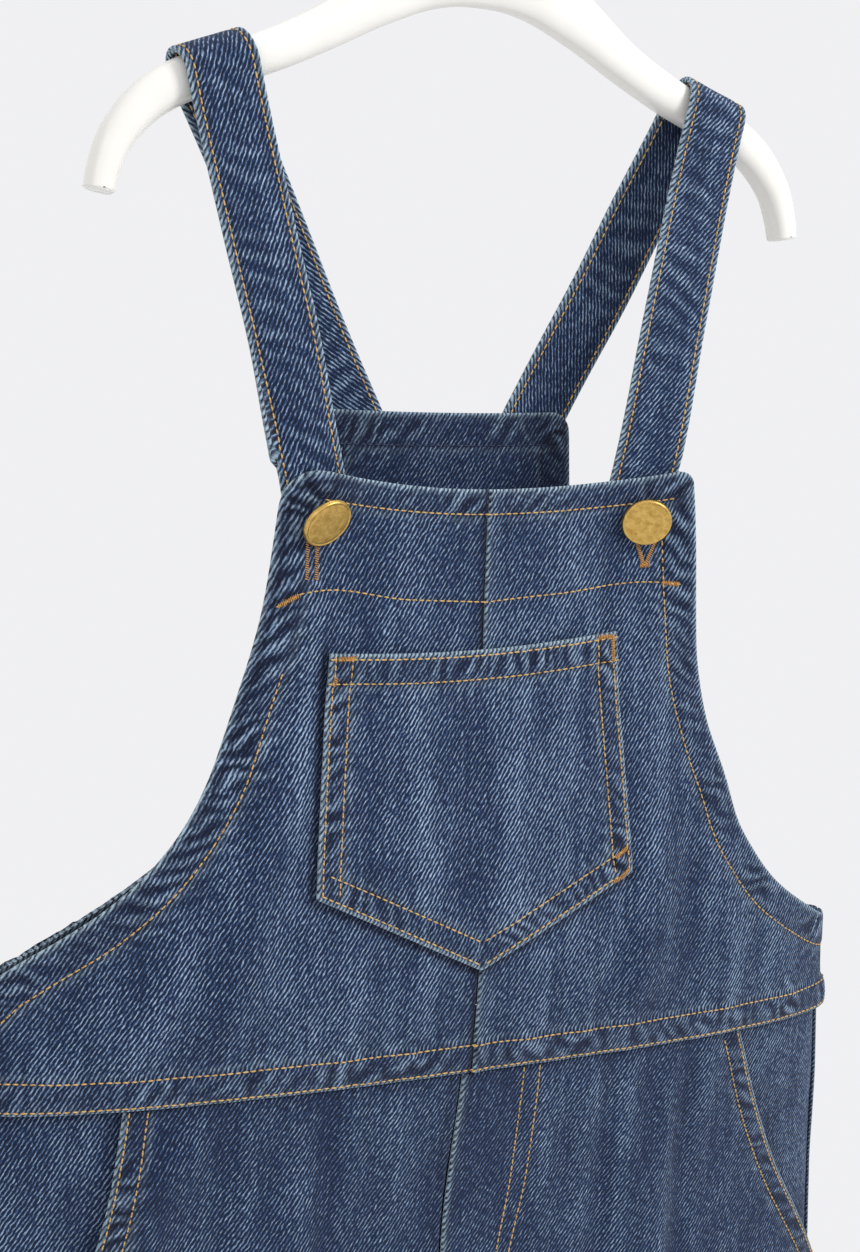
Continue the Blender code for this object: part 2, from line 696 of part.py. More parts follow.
def sweep(name, sections, power, sides, finish):
    """A rod through sections (middle, half size in the XZ plane, half size in Y), closed at its ends."""
    verts, rings = [], []
    for i, (middle, half, half_y) in enumerate(sections):
        ahead = sections[min(i + 1, len(sections) - 1)][0] - sections[max(i - 1, 0)][0]
        across = unit(np.array((-ahead[2], 0.0, ahead[0])))
        ring = []
        for k in range(sides):
            turn = 2 * math.pi * (k + 0.5) / sides
            c, s = math.cos(turn), math.sin(turn)
            out = (abs(c) ** power + abs(s) ** power) ** (-1 / power)
            ring.append(len(verts))
            verts.append(middle + out * c * half * across + out * s * half_y * np.array((0.0, 1.0, 0.0)))
        rings.append(ring)
    faces = [rings[0], rings[-1]]
    for first, second in zip(rings, rings[1:]):
        for k in range(sides):
            nxt = (k + 1) % sides
            faces.append((first[k], second[k], second[nxt], first[nxt]))
    return mesh_object(name, verts, faces, finish)


def hanger_body(name, finish):
    right = [np.array(row) for row in HANGER_ARM]
    mirrored = [row * np.array((-1, 1, 1)) for row in reversed(right[1:])]
    stations = mirrored + right
    sections = []
    for t in spread(0, len(stations) - 1, 2 * (len(stations) - 1)):
        x, up, thick = through(stations, t)
        sections.append((np.array((x, 0.0, BIB_TOP_Z + up)), thick / 2, HANGER_DEPTH / 2))
    body = sweep(name, sections, HANGER_POWER, HANGER_SIDES, finish)
    top = hub_top()
    socket = cutter_cylinder(name + "_socket", WIRE_RADIUS + SHANK_CLEARANCE, top - HOOK_SOCKET, top + 0.01, 16)
    cut(body, socket)
    return body


def hub_top():
    return BIB_TOP_Z + HANGER_ARM[0][1] + HANGER_ARM[0][2] / 2


def hanger_hook(name, finish):
    """Wire from the hanger's socket, bent out and round over the rail, which it touches at the origin."""
    centre_z = WIRE_RADIUS - HOOK_RADIUS
    bend = HOOK_RADIUS * math.cos(HOOK_NECK) / (1 - math.cos(HOOK_NECK))
    bend_z = centre_z - (HOOK_RADIUS + bend) * math.sin(HOOK_NECK)
    foot = hub_top() - HOOK_SOCKET + SEAM_GAP
    line = [(0.0, z) for z in spread(foot, bend_z, 3)[:-1]]
    line += [(bend * (1 - math.cos(a)), bend_z + bend * math.sin(a)) for a in spread(0, HOOK_NECK, 5)[:-1]]
    for a in spread(-HOOK_NECK, HOOK_TIP, 22):
        line.append((HOOK_RADIUS * math.cos(a), centre_z + HOOK_RADIUS * math.sin(a)))
    sections = [(np.array((x, 0.0, z)), WIRE_RADIUS, WIRE_RADIUS) for x, z in line]
    return sweep(name, sections, 2, WIRE_SIDES, finish)


def main():
    for obj in list(bpy.data.objects):
        bpy.data.objects.remove(obj, do_unlink=True)
    denim = material("denim", DENIM, 0.9)
    faded = material("faded_denim", FADED_DENIM, 0.9)
    inner = material("denim_back", DENIM_BACK, 0.9)
    brass = material("brass", BRASS, 0.35, 1.0)
    plastic = material("white_plastic", WHITE_PLASTIC, 0.25)
    steel = material("steel", STEEL, 0.3, 1.0)
    back_bib("back_bib", inner)
    bib_pocket("bib_pocket", faded)
    for side, word in ((1, "left"), (-1, "right")):
        half = front_bib(side, "front_bib_" + word, denim)
        band = strap(side, "strap_" + word, denim)
        leg_panel(side, 1, "front_leg_" + word, denim)
        leg_panel(side, -1, "back_leg_" + word, denim)
        pocket_facing(side, "pocket_facing_" + word, inner)
        button(side, "button_" + word, brass, (half, band))
    hanger_body("hanger_body", plastic)
    hanger_hook("hanger_hook", steel)


main()
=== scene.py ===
"""Looks of the child's denim dungarees that hang by their straps on a white clothes hanger.

Metres, +Z up. The front faces -Y, so the wearer's left is at +X. Heights on the garment are tailor's
drops, measured down from the middle of the front bib's top edge. Each cloth piece is a thin closed
shell on the same surface as its solid. Its flat pattern, in metres, is its UV map, and seams, puckers,
wear, painted shade and stitching are laid out on that pattern.
"""

import sys

import logging
import math
from collections.abc import Callable, Sequence
from dataclasses import dataclass, field
from enum import Enum, IntEnum

import bmesh
import bpy
import numpy as np
from mathutils import Matrix, Vector
from mathutils.bvhtree import BVHTree
from mathutils.geometry import barycentric_transform

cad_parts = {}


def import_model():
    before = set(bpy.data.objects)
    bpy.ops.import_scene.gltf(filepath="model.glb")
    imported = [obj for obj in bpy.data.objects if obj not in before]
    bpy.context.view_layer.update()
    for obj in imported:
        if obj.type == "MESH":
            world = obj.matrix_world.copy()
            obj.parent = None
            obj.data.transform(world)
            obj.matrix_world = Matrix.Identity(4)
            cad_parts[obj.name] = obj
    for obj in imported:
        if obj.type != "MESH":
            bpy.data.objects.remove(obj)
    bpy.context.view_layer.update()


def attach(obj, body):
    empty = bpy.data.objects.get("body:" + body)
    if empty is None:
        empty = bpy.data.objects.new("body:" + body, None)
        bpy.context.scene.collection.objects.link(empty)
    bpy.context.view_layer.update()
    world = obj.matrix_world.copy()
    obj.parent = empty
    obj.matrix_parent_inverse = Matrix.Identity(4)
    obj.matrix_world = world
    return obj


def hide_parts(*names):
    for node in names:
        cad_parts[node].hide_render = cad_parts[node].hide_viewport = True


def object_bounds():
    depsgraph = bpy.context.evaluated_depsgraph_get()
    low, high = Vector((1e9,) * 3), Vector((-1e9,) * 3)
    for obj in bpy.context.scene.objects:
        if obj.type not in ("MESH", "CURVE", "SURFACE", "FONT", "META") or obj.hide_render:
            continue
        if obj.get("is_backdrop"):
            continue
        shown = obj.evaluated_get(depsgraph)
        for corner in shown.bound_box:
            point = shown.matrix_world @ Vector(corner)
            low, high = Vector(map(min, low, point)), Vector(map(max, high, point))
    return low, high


Array = np.ndarray
Table = Sequence[Sequence[float]]

LOG = logging.getLogger("dungarees")
BODY = "root"
MM = 0.001

# Worked cloth
CLOTH = 0.0012            # one layer of denim
SEAM_GAP = 0.0003         # two sewn pieces stop this far apart
LAID_ON_GAP = 0.0007      # a strap lies this far off the bib
FINE = 0.0016             # spacing of the points on the parts that are seen close up
COARSE = 0.0028           # and on the legs

# Drops
BIB_TOP_Z = -0.252
WAIST = 0.211
BAND = 0.012
UNDERARM = 0.1725
CROTCH = 0.418
CROTCH_CURVE = 0.075
HEM = 0.865
HEM_DEPTH = 0.020
BACK_TOP = -0.0245
SWAY = 0.035

# Rings of the body: drop, half width, y of the front, of the side seam and of the back
RINGS: Table = (
    (-0.040, 0.1735, -0.018, -0.003, 0.014),
    (0.060, 0.1735, -0.019, -0.002, 0.016),
    (0.120, 0.1735, -0.023, -0.001, 0.021),
    (0.171, 0.1735, -0.026, 0.000, 0.028),
    (0.211, 0.1765, -0.023, 0.000, 0.034),
    (0.290, 0.1840, -0.016, 0.005, 0.040),
    (0.350, 0.1885, -0.017, 0.007, 0.042),
    (0.418, 0.1910, -0.020, 0.007, 0.040),
    (0.580, 0.1850, -0.021, 0.005, 0.033),
    (0.740, 0.1790, -0.019, 0.005, 0.029),
    (0.865, 0.1770, -0.018, 0.005, 0.028),
)
HALF, FACE_FRONT, SEAM, FACE_BACK = 1, 2, 3, 4
RING_POWER = 2.6

# Half width at the armholes: drop, wearer's left, wearer's right
FRONT_ARMHOLE: Table = (
    (0.000, 0.0795, 0.0760),
    (0.020, 0.0830, 0.0785),
    (0.043, 0.0865, 0.0825),
    (0.061, 0.0900, 0.0865),
    (0.088, 0.0985, 0.0950),
    (0.108, 0.1075, 0.1050),
    (0.127, 0.1155, 0.1195),
    (0.140, 0.1250, 0.1340),
    (0.150, 0.1345, 0.1485),
    (0.158, 0.1455, 0.1605),
    (0.165, 0.1575, 0.1685),
    (0.170, 0.1670, 0.1718),
    (0.1725, 0.1730, 0.1730),
)
BACK_ARMHOLE: Table = (
    (-0.0245, 0.0510, 0.0510),
    (0.035, 0.0560, 0.0560),
    (0.088, 0.0660, 0.0660),
    (0.108, 0.0770, 0.0770),
    (0.127, 0.0920, 0.0920),
    (0.142, 0.1090, 0.1090),
    (0.155, 0.1300, 0.1300),
    (0.165, 0.1515, 0.1515),
    (0.1725, 0.1730, 0.1730),
)

# Front edge of a trouser leg along the slant pocket: drop, wearer's left, wearer's right
POCKET_MOUTH: Table = (
    (0.211, 0.1235, 0.1275),
    (0.241, 0.1355, 0.1310),
    (0.278, 0.1545, 0.1400),
    (0.300, 0.1685, 0.1530),
    (0.318, 0.1800, 0.1715),
    (0.330, 0.1870, 0.1870),
)
FLY_EDGE: Table = ((0.211, -0.0035), (0.280, -0.0060), (0.330, -0.0040), (0.343, 0.0), (0.418, 0.0))
INSEAM: Table = ((0.418, 0.0018), (0.480, 0.0050), (0.580, 0.0100), (0.740, 0.0170), (0.865, 0.0230))

# Large soft folds: side, facing, drop and distance from the centre at the top, the same at the
# bottom, height, half width
FOLDS: Table = (
    (-1, 1, 0.075, 0.072, 0.205, 0.100, 0.0030, 0.016),
    (1, 1, 0.110, 0.080, 0.205, 0.068, 0.0025, 0.016),
    (1, 1, 0.225, 0.078, 0.430, 0.095, 0.0040, 0.024),
    (-1, 1, 0.225, 0.066, 0.430, 0.085, 0.0035, 0.024),
    (-1, 1, 0.215, 0.112, 0.318, 0.136, 0.0045, 0.020),
    (1, 1, 0.390, 0.130, 0.860, 0.085, 0.0060, 0.030),
    (1, 1, 0.370, 0.052, 0.720, 0.130, 0.0045, 0.024),
    (-1, 1, 0.390, 0.125, 0.860, 0.110, 0.0055, 0.030),
    (-1, 1, 0.370, 0.045, 0.760, 0.070, 0.0050, 0.024),
    (1, -1, 0.240, 0.070, 0.500, 0.100, 0.0055, 0.030),
    (-1, -1, 0.240, 0.085, 0.500, 0.080, 0.0055, 0.030),
    (1, -1, 0.480, 0.095, 0.860, 0.115, 0.0060, 0.030),
    (-1, -1, 0.480, 0.115, 0.860, 0.085, 0.0060, 0.030),
)


class Side(IntEnum):
    """Side of the wearer, as the sign of x."""

    LEFT = 1
    RIGHT = -1

    @property
    def word(self) -> str:
        """The side as it stands in a node's name."""
        return self.name.lower()


class Facing(IntEnum):
    """Front or back of the garment."""

    FRONT = 1
    BACK = -1

    @property
    def word(self) -> str:
        """The facing as it stands in a node's name."""
        return self.name.lower()


class Fringe(Enum):
    """The four borders of a shell's grid of points."""

    TOP = "top"
    BOTTOM = "bottom"
    START = "start"
    END = "end"


# Small mathematics


def ease(t: Array | float) -> Array:
    """Goes from 0 to 1 with no corner at either end."""
    t = np.clip(t, 0.0, 1.0)
    return t * t * (3 - 2 * t)


def bell(distance: Array | float, width: float) -> Array:
    """A soft bump that is 1 where distance is 0."""
    return np.exp(-((np.asarray(distance) / width) ** 2))


def unit(v: Array) -> Array:
    """Vectors of length 1 along the last axis."""
    return v / np.maximum(1e-12, np.linalg.norm(v, axis=-1, keepdims=True))


def wander(x: Array, y: Array, seed: float) -> Array:
    """Smooth uneven values from about -1 to 1, one wave to a unit of x or y.

    Args:
        x: first coordinate.
        y: second coordinate.
        seed: chooses the pattern.

    Returns:
        The value at each place.
    """
    total = np.zeros(np.broadcast(x, y).shape)
    for k, weight in enumerate((1.0, 0.8, 0.6, 0.45)):
        turn = seed * 1.7 + k * 2.1
        rate = 2.2 + 1.9 * k
        total += weight * np.sin(rate * (x * math.cos(turn) + y * math.sin(turn)) + 5.3 * seed + k)
        total += 0.6 * weight * np.sin(1.37 * rate * (y * math.cos(turn) - x * math.sin(turn)) + 2.9 * seed)
    return total / 2.4


def along(table: Table, at: Array | float, column: int = 1) -> Array:
    """Reads a table, whose first column is a drop, on a smooth curve that never overshoots a row.

    Args:
        table: rows in the order of their drops.
        at: the drops to read.
        column: the column to read.

    Returns:
        The value at each drop.
    """
    rows = np.array([row[0] for row in table], float)
    values = np.array([row[column] for row in table], float)
    chord = np.diff(values) / np.diff(rows)
    before = np.concatenate((chord[:1], chord))
    after = np.concatenate((chord, chord[-1:]))
    product = before * after
    total = np.where(product > 0, before + after, 1.0)
    slope = np.where(product > 0, 2 * product / total, 0.0)
    at = np.clip(at, rows[0], rows[-1])
    i = np.clip(np.searchsorted(rows, at, side="right") - 1, 0, len(rows) - 2)
    step = rows[i + 1] - rows[i]
    t = (at - rows[i]) / step
    rise = values[i + 1] - values[i]
    return (values[i] + rise * t * t * (3 - 2 * t)
            + step * t * (1 - t) * (slope[i] * (1 - t) - slope[i + 1] * t))


def spread(low: float, high: float, pitch: float, lead: Sequence[float] = ()) -> Array:
    """Even steps of about pitch from low to high, with extra points near both ends.

    Args:
        low: first value.
        high: last value.
        pitch: wanted step.
        lead: distances from each end at which a point is added.

    Returns:
        The values in order.
    """
    count = max(2, round(abs(high - low) / pitch))
    values = list(np.linspace(low, high, count + 1))
    sign = 1 if high > low else -1
    inner = [v for v in values[1:-1] if min(abs(v - low), abs(v - high)) > (max(lead) * 1.3 if lead else 0)]
    extra = [low + sign * d for d in lead] + [high - sign * d for d in lead]
    return np.array(sorted([values[0], values[-1], *inner, *extra], reverse=high < low))


def path_lengths(points: Array) -> Array:
    """Length run along a line of points up to each of them."""
    return np.concatenate(([0.0], np.cumsum(np.linalg.norm(np.diff(points, axis=0), axis=1))))


def even(points: Array, pitch: float, margin: float = 0.0) -> Array:
    """Points pitch apart along a line.

    Args:
        points: the line.
        pitch: wanted step.
        margin: length left free at each end.

    Returns:
        The points in order.
    """
    run = path_lengths(points)
    count = max(1, round((run[-1] - 2 * margin) / pitch))
    at = np.linspace(margin, run[-1] - margin, count + 1)
    return np.stack([np.interp(at, run, points[:, k]) for k in range(points.shape[1])], axis=1)


def shifted(line: Array, distance: float) -> Array:
    """A flat line moved sideways to its left, without the loops that a tight bend would make.

    Args:
        line: points (n, 2).
        distance: how far to move it.

    Returns:
        The moved points.
    """
    line = even(line, 0.001)
    way = unit(np.gradient(line, axis=0))
    moved = line + distance * np.stack((-way[:, 1], way[:, 0]), axis=1)
    gap = np.linalg.norm(moved[:, None] - line[None], axis=2).min(axis=1)
    return moved[gap > abs(distance) - 0.0003]


def nearest(points: Array, line: Array) -> tuple[Array, Array]:
    """How far each flat point is from a line, and how far along the line its foot is.

    Args:
        points: places (..., 2).
        line: points (n, 2).

    Returns:
        Distances and lengths run along the line.
    """
    line = even(line, 0.0008)
    run = path_lengths(line)
    flat = points.reshape(-1, 2)
    distance, place = np.empty(len(flat)), np.empty(len(flat))
    for start in range(0, len(flat), 4000):
        part = flat[start:start + 4000]
        gaps = np.linalg.norm(part[:, None] - line[None], axis=2)
        closest = gaps.argmin(axis=1)
        distance[start:start + 4000] = gaps[np.arange(len(part)), closest]
        place[start:start + 4000] = run[closest]
    return distance.reshape(points.shape[:-1]), place.reshape(points.shape[:-1])


# The garment's form, the same as the solids'


def height(drop: Array, x: Array) -> Array:
    """Z of a drop. The waist and legs hang lower on the wearer's left."""
    return BIB_TOP_Z - drop - ease(drop / WAIST) * SWAY * x


def fold_out(side: Array, facing: Facing, x: Array, drop: Array) -> Array:
    """How far the large soft folds lift the cloth.

    Args:
        side: sign of the side at each place.
        facing: front or back.
        x: distance from the centre.
        drop: tailor's drop.

    Returns:
        The lift at each place.
    """
    lift = np.zeros(np.broadcast(side, x, drop).shape)
    for on_side, on_face, top, x_top, bottom, x_bottom, rise, half in FOLDS:
        if on_face == facing:
            down = (drop - top) / (bottom - top)
            off = np.abs(x - x_top - (x_bottom - x_top) * down) / half
            here = (side == on_side) & (down > 0) & (down < 1) & (off < 1)
            shape = np.cos(np.minimum(off, 1) * math.pi / 2) ** 2 * ease(4 * down) * ease(4 * (1 - down))
            lift += np.where(here, rise * shape, 0.0)
    return lift


def ring_y(side: Array, facing: Facing, x: Array, drop: Array, theta: Array) -> Array:
    """How far back the cloth lies at an angle of its ring.

    Args:
        side: sign of the side at each place.
        facing: front or back.
        x: distance from the centre.
        drop: tailor's drop.
        theta: ring angle from the middle of that face.

    Returns:
        Y of the cloth's inner face.
    """
    round_off = np.sqrt(np.maximum(0.0, 1 - np.abs(np.sin(theta)) ** RING_POWER))
    seam = along(RINGS, drop, SEAM)
    face = along(RINGS, drop, FACE_FRONT if facing > 0 else FACE_BACK)
    return (seam + (face - seam) * round_off
            - facing * fold_out(side, facing, x, drop) * np.minimum(1, 2 * round_off))


def by_side(table: Table, sign: Array, drop: Array) -> Array:
    """Half width in a table that has a column for each side of the wearer."""
    return np.where(sign > 0, along(table, drop, 1), along(table, drop, 2))


@dataclass(frozen=True)
class BibForm:
    """Form of the front bib's top, drawn forward and up by the straps."""

    corner: float = 0.076
    forward: float = 0.007
    forward_depth: float = 0.090
    up_left: float = 0.0068
    up_right: float = 0.0100
    up_depth: float = 0.045
    pull: float = 0.003
    pull_reach: float = 0.016
    button_drop: float = 0.0130
    roll_width: float = 0.014
    roll_back: float = 0.005
    roll_depth: float = 0.125

    def front(self, theta: Array, drop: Array) -> Array:
        """Inner face of the front bib. theta is below 0 on the wearer's right."""
        sign = np.where(theta >= 0, 1, -1)
        x = along(RINGS, drop, HALF) * np.sin(theta)
        y = ring_y(sign, Facing.FRONT, np.abs(x), drop, theta)
        reach = np.abs(x) / self.corner
        y = y - self.forward * ease(1 - drop / self.forward_depth) * reach**4
        below = drop - self.button_drop
        button_x = np.where(sign > 0, 0.0632, 0.0645)
        away = np.hypot(np.abs(x) - button_x, below) / self.pull_reach
        y = y + self.pull * below / self.pull_reach * np.exp(-away * away)
        rolled = (np.abs(x) - by_side(FRONT_ARMHOLE, sign, drop)) / self.roll_width + 1
        roll = self.roll_back * np.clip(rolled, 0, 1.2) ** 2 * ease(2 * (1 - drop / self.roll_depth))
        y = y + np.where(sign < 0, roll, 0.0)
        up = np.where(sign > 0, self.up_left, self.up_right)
        z = height(drop, x) + up * ease(1 - drop / self.up_depth) * reach**2
        return np.stack((x, y, z), axis=-1)

    def back(self, theta: Array, drop: Array) -> Array:
        """Inner face of the back bib, with theta measured from the centre back."""
        sign = np.where(theta >= 0, 1, -1)
        x = along(RINGS, drop, HALF) * np.sin(theta)
        y = ring_y(sign, Facing.BACK, np.abs(x), drop, theta)
        z = height(drop, x) + 0.001 * ease(1 - (drop - BACK_TOP) / self.up_depth) * (x / 0.051) ** 2
        return np.stack((x, y, z), axis=-1)


@dataclass(frozen=True)
class LegForm:
    """Form of one leg piece."""

    side: Side
    facing: Facing

    def share(self, drop: Array) -> Array:
        """0 in the body and 1 from the crotch down."""
        return ease((drop - CROTCH + CROTCH_CURVE) / CROTCH_CURVE)

    def centre(self, drop: Array) -> Array:
        """Distance of the centre edge from the centre plane in the body."""
        return self.side * along(FLY_EDGE, drop) if self.facing > 0 else 0.0 * np.asarray(drop)

    def inner_sine(self, drop: Array) -> Array:
        """Sine of the ring angle at the inner edge."""
        middle = self.centre(drop) / along(RINGS, drop, HALF)
        return middle - (1 + middle) * self.share(drop)

    def inner_x(self, drop: Array) -> Array:
        """Distance of that edge from the centre."""
        rise = self.centre(drop) + SEAM_GAP / 2 + self.share(drop) ** 2 * (INSEAM[0][1] - SEAM_GAP / 2)
        return np.where(drop >= CROTCH, along(INSEAM, drop), rise)

    def surface(self, theta: Array, drop: Array) -> Array:
        """Inner face of the leg, with theta measured from the centre of the piece's own face."""
        low, inner = self.inner_sine(drop), self.inner_x(drop)
        x = inner + (along(RINGS, drop, HALF) - inner) * (np.sin(theta) - low) / (1 - low)
        y = ring_y(np.full(x.shape, int(self.side)), self.facing, x, drop, theta)
        return np.stack((self.side * x, y, height(drop, self.side * x)), axis=-1)


def seam_angle(facing: Facing, drop: Array) -> Array:
    """Angle by which a piece stops short of a side seam."""
    depth = np.abs(along(RINGS, drop, FACE_FRONT if facing > 0 else FACE_BACK) - along(RINGS, drop, SEAM))
    return SEAM_GAP / 2 / depth / math.sqrt(RING_POWER / 2)


# Finishes


def linear(code: str) -> tuple[float, float, float, float]:
    """The linear colour of an sRGB hex value such as 4A648C."""
    values = [int(code[k:k + 2], 16) / 255 for k in (0, 2, 4)]
    red, green, blue = [v / 12.92 if v <= 0.04045 else ((v + 0.055) / 1.055) ** 2.4 for v in values]
    return red, green, blue, 1.0


def add_node(tree: bpy.types.NodeTree, kind: str, settings: dict | None = None,
             links: dict | None = None) -> bpy.types.Node:
    """Adds a node, sets its properties and inputs, and links its inputs.

    Args:
        tree: node tree that gets it.
        kind: Blender's name of the node type.
        settings: property names, or input names and numbers, with their values.
        links: input names or numbers with the output socket that feeds each.

    Returns:
        The new node.
    """
    node = tree.nodes.new(kind)
    for key, value in (settings or {}).items():
        if isinstance(key, str) and hasattr(node, key):
            setattr(node, key, value)
        else:
            node.inputs[key].default_value = value
    for key, source in (links or {}).items():
        tree.links.new(source, node.inputs[key])
    return node


def new_material(name: str) -> tuple[bpy.types.Material, bpy.types.NodeTree, bpy.types.Node]:
    """A material with an empty Principled shader.

    Args:
        name: the material's name.

    Returns:
        The material, its tree and its shader.
    """
    finish = bpy.data.materials.new(name)
    finish.use_nodes = True
    return finish, finish.node_tree, finish.node_tree.nodes["Principled BSDF"]


@dataclass(frozen=True)
class Denim:
    """Indigo ring-spun cotton twill, stone washed.

    The eye gets a right-hand twill of pale flecks on navy, paler where an edge or a fold has rubbed in
    the wash, darker in the valleys beside a seam where indigo stays, and darker again where shade is
    painted in beside seams, laps, pockets and buttons. The twill's lines are drawn 1.4 mm apart, coarser
    than the 0.7 mm of the real yarns, which would be too fine to show.
    """

    name: str
    dark: str = "09142C"
    middle: str = "213A61"
    light: str = "9CB3CA"
    rubbed: str = "A9BFCC"
    slope: float = 58.0
    pitch_mm: float = 1.4
    bias: float = 0.0

    def build(self) -> bpy.types.Material:
        """Builds the material on the piece's own flat pattern and its cloth attribute."""
        finish, tree, shader = new_material(self.name)
        pattern = add_node(tree, "ShaderNodeUVMap", {"uv_map": "pattern"})
        turned = add_node(
            tree, "ShaderNodeMapping",
            {"vector_type": "TEXTURE", "Rotation": (0, 0, math.radians(self.slope)), "Scale": (MM, MM, MM)},
            {"Vector": pattern.outputs["UV"]},
        )
        # Yarn flecks: long along the twill line, short across it
        flecks_at = add_node(tree, "ShaderNodeVectorMath", {"operation": "MULTIPLY", 1: (0.50, 2.3, 1.0)},
                             {0: turned.outputs["Vector"]})
        flecks = add_node(tree, "ShaderNodeTexNoise", {"Scale": 1.0, "Detail": 3.0, "Roughness": 0.7},
                          {"Vector": flecks_at.outputs["Vector"]})
        split = add_node(tree, "ShaderNodeSeparateXYZ", {}, {0: turned.outputs["Vector"]})
        drift = add_node(tree, "ShaderNodeTexNoise", {"Scale": 0.35, "Detail": 1.0},
                         {"Vector": turned.outputs["Vector"]})
        phase = add_node(tree, "ShaderNodeMath",
                         {"operation": "MULTIPLY_ADD", 1: 2 * math.pi / self.pitch_mm},
                         {0: split.outputs["Y"]})
        swing = add_node(tree, "ShaderNodeMath", {"operation": "MULTIPLY", 1: 5.0}, {0: drift.outputs["Fac"]})
        tree.links.new(swing.outputs[0], phase.inputs[2])
        line = add_node(tree, "ShaderNodeMath", {"operation": "SINE"}, {0: phase.outputs[0]})
        twill = add_node(tree, "ShaderNodeMath", {"operation": "MULTIPLY_ADD", 1: 0.19},
                         {0: line.outputs[0], 2: flecks.outputs["Fac"]})
        # Uneven dyeing: mottling, and streaks that run with the warp
        cloudy = add_node(tree, "ShaderNodeVectorMath", {"operation": "MULTIPLY", 1: (150.0, 55.0, 1.0)},
                          {0: pattern.outputs["UV"]})
        clouds = add_node(tree, "ShaderNodeTexNoise", {"Scale": 1.0, "Detail": 4.0, "Roughness": 0.6},
                          {"Vector": cloudy.outputs["Vector"]})
        streaky = add_node(tree, "ShaderNodeVectorMath", {"operation": "MULTIPLY", 1: (620.0, 34.0, 1.0)},
                           {0: pattern.outputs["UV"]})
        streaks = add_node(tree, "ShaderNodeTexNoise", {"Scale": 1.0, "Detail": 2.0},
                           {"Vector": streaky.outputs["Vector"]})
        wash = add_node(tree, "ShaderNodeMath", {"operation": "ADD"},
                        {0: clouds.outputs["Fac"], 1: streaks.outputs["Fac"]})
        cloth = add_node(tree, "ShaderNodeAttribute", {"attribute_name": "cloth"})
        parts = add_node(tree, "ShaderNodeSeparateColor", {}, {0: cloth.outputs["Color"]})
        fade = add_node(tree, "ShaderNodeMath", {"operation": "MULTIPLY_ADD", 1: 0.40, 2: -0.235 + self.bias},
                        {0: parts.outputs["Green"]})
        washed = add_node(tree, "ShaderNodeMath", {"operation": "MULTIPLY_ADD", 1: 0.13, 2: -0.13},
                          {0: wash.outputs[0]})
        tone = add_node(tree, "ShaderNodeMath", {"operation": "ADD"},
                        {0: twill.outputs[0], 1: fade.outputs[0]})
        toned = add_node(tree, "ShaderNodeMath", {"operation": "ADD"},
                         {0: tone.outputs[0], 1: washed.outputs[0]})
        ramp = add_node(tree, "ShaderNodeValToRGB", {}, {0: toned.outputs[0]})
        stops = ramp.color_ramp.elements
        stops[0].position, stops[0].color = 0.37, linear(self.dark)
        stops[1].position, stops[1].color = 0.79, linear(self.light)
        middle = stops.new(0.58)
        middle.color = linear(self.middle)
        # Rubbed edges, and the darkening from the cloth attribute's blue part:
        # indigo left in the valleys together with painted shade beside seams, laps, pockets and buttons
        rub = add_node(tree, "ShaderNodeMath", {"operation": "MULTIPLY_ADD", 1: 2.4, 2: -0.72},
                       {0: twill.outputs[0]})
        rub_share = add_node(tree, "ShaderNodeMath", {"operation": "MULTIPLY", "use_clamp": True},
                             {0: rub.outputs[0], 1: parts.outputs["Red"]})
        worn = add_node(tree, "ShaderNodeMix", {"data_type": "RGBA", 7: linear(self.rubbed)},
                        {0: rub_share.outputs[0], 6: ramp.outputs["Color"]})
        indigo_and_shade = add_node(tree, "ShaderNodeMix",
                        {"data_type": "RGBA", "blend_type": "MULTIPLY", 7: linear("4C5A80")},
                        {0: parts.outputs["Blue"], 6: worn.outputs[2]})
        bump = add_node(tree, "ShaderNodeBump", {"Strength": 0.55, "Distance": 0.0005},
                        {"Height": toned.outputs[0]})
        tree.links.new(indigo_and_shade.outputs[2], shader.inputs["Base Color"])
        tree.links.new(bump.outputs["Normal"], shader.inputs["Normal"])
        shader.inputs["Roughness"].default_value = 0.88
        shader.inputs["Specular IOR Level"].default_value = 0.25
        shader.inputs["Sheen Weight"].default_value = 0.06
        shader.inputs["Sheen Roughness"].default_value = 0.5
        return finish


@dataclass(frozen=True)
class Thread:
    """Twisted polyester-cotton topstitching thread: a soft gloss, and the two plies' slanted shade."""

    name: str
    colour: str
    shaded: str

    def build(self) -> bpy.types.Material:
        """Builds the material, with the ply's twist drawn 0.6 mm apart."""
        finish, tree, shader = new_material(self.name)
        place = add_node(tree, "ShaderNodeTexCoord")
        uneven = add_node(tree, "ShaderNodeTexNoise", {"Scale": 260.0, "Detail": 2.0},
                          {"Vector": place.outputs["Object"]})
        twist = add_node(tree, "ShaderNodeTexWave",
                         {"Scale": 520.0, "Distortion": 1.0, "bands_direction": "DIAGONAL"},
                         {"Vector": place.outputs["Object"]})
        mixed = add_node(tree, "ShaderNodeMath", {"operation": "MULTIPLY_ADD", 1: 0.45},
                         {0: twist.outputs["Fac"], 2: uneven.outputs["Fac"]})
        ramp = add_node(tree, "ShaderNodeValToRGB", {}, {0: mixed.outputs[0]})
        ramp.color_ramp.elements[0].position = 0.35
        ramp.color_ramp.elements[0].color = linear(self.shaded)
        ramp.color_ramp.elements[1].position = 0.80
        ramp.color_ramp.elements[1].color = linear(self.colour)
        bump = add_node(tree, "ShaderNodeBump", {"Strength": 0.4, "Distance": 0.0001},
                        {"Height": twist.outputs["Fac"]})
        tree.links.new(ramp.outputs["Color"], shader.inputs["Base Color"])
        tree.links.new(bump.outputs["Normal"], shader.inputs["Normal"])
        shader.inputs["Roughness"].default_value = 0.6
        return finish


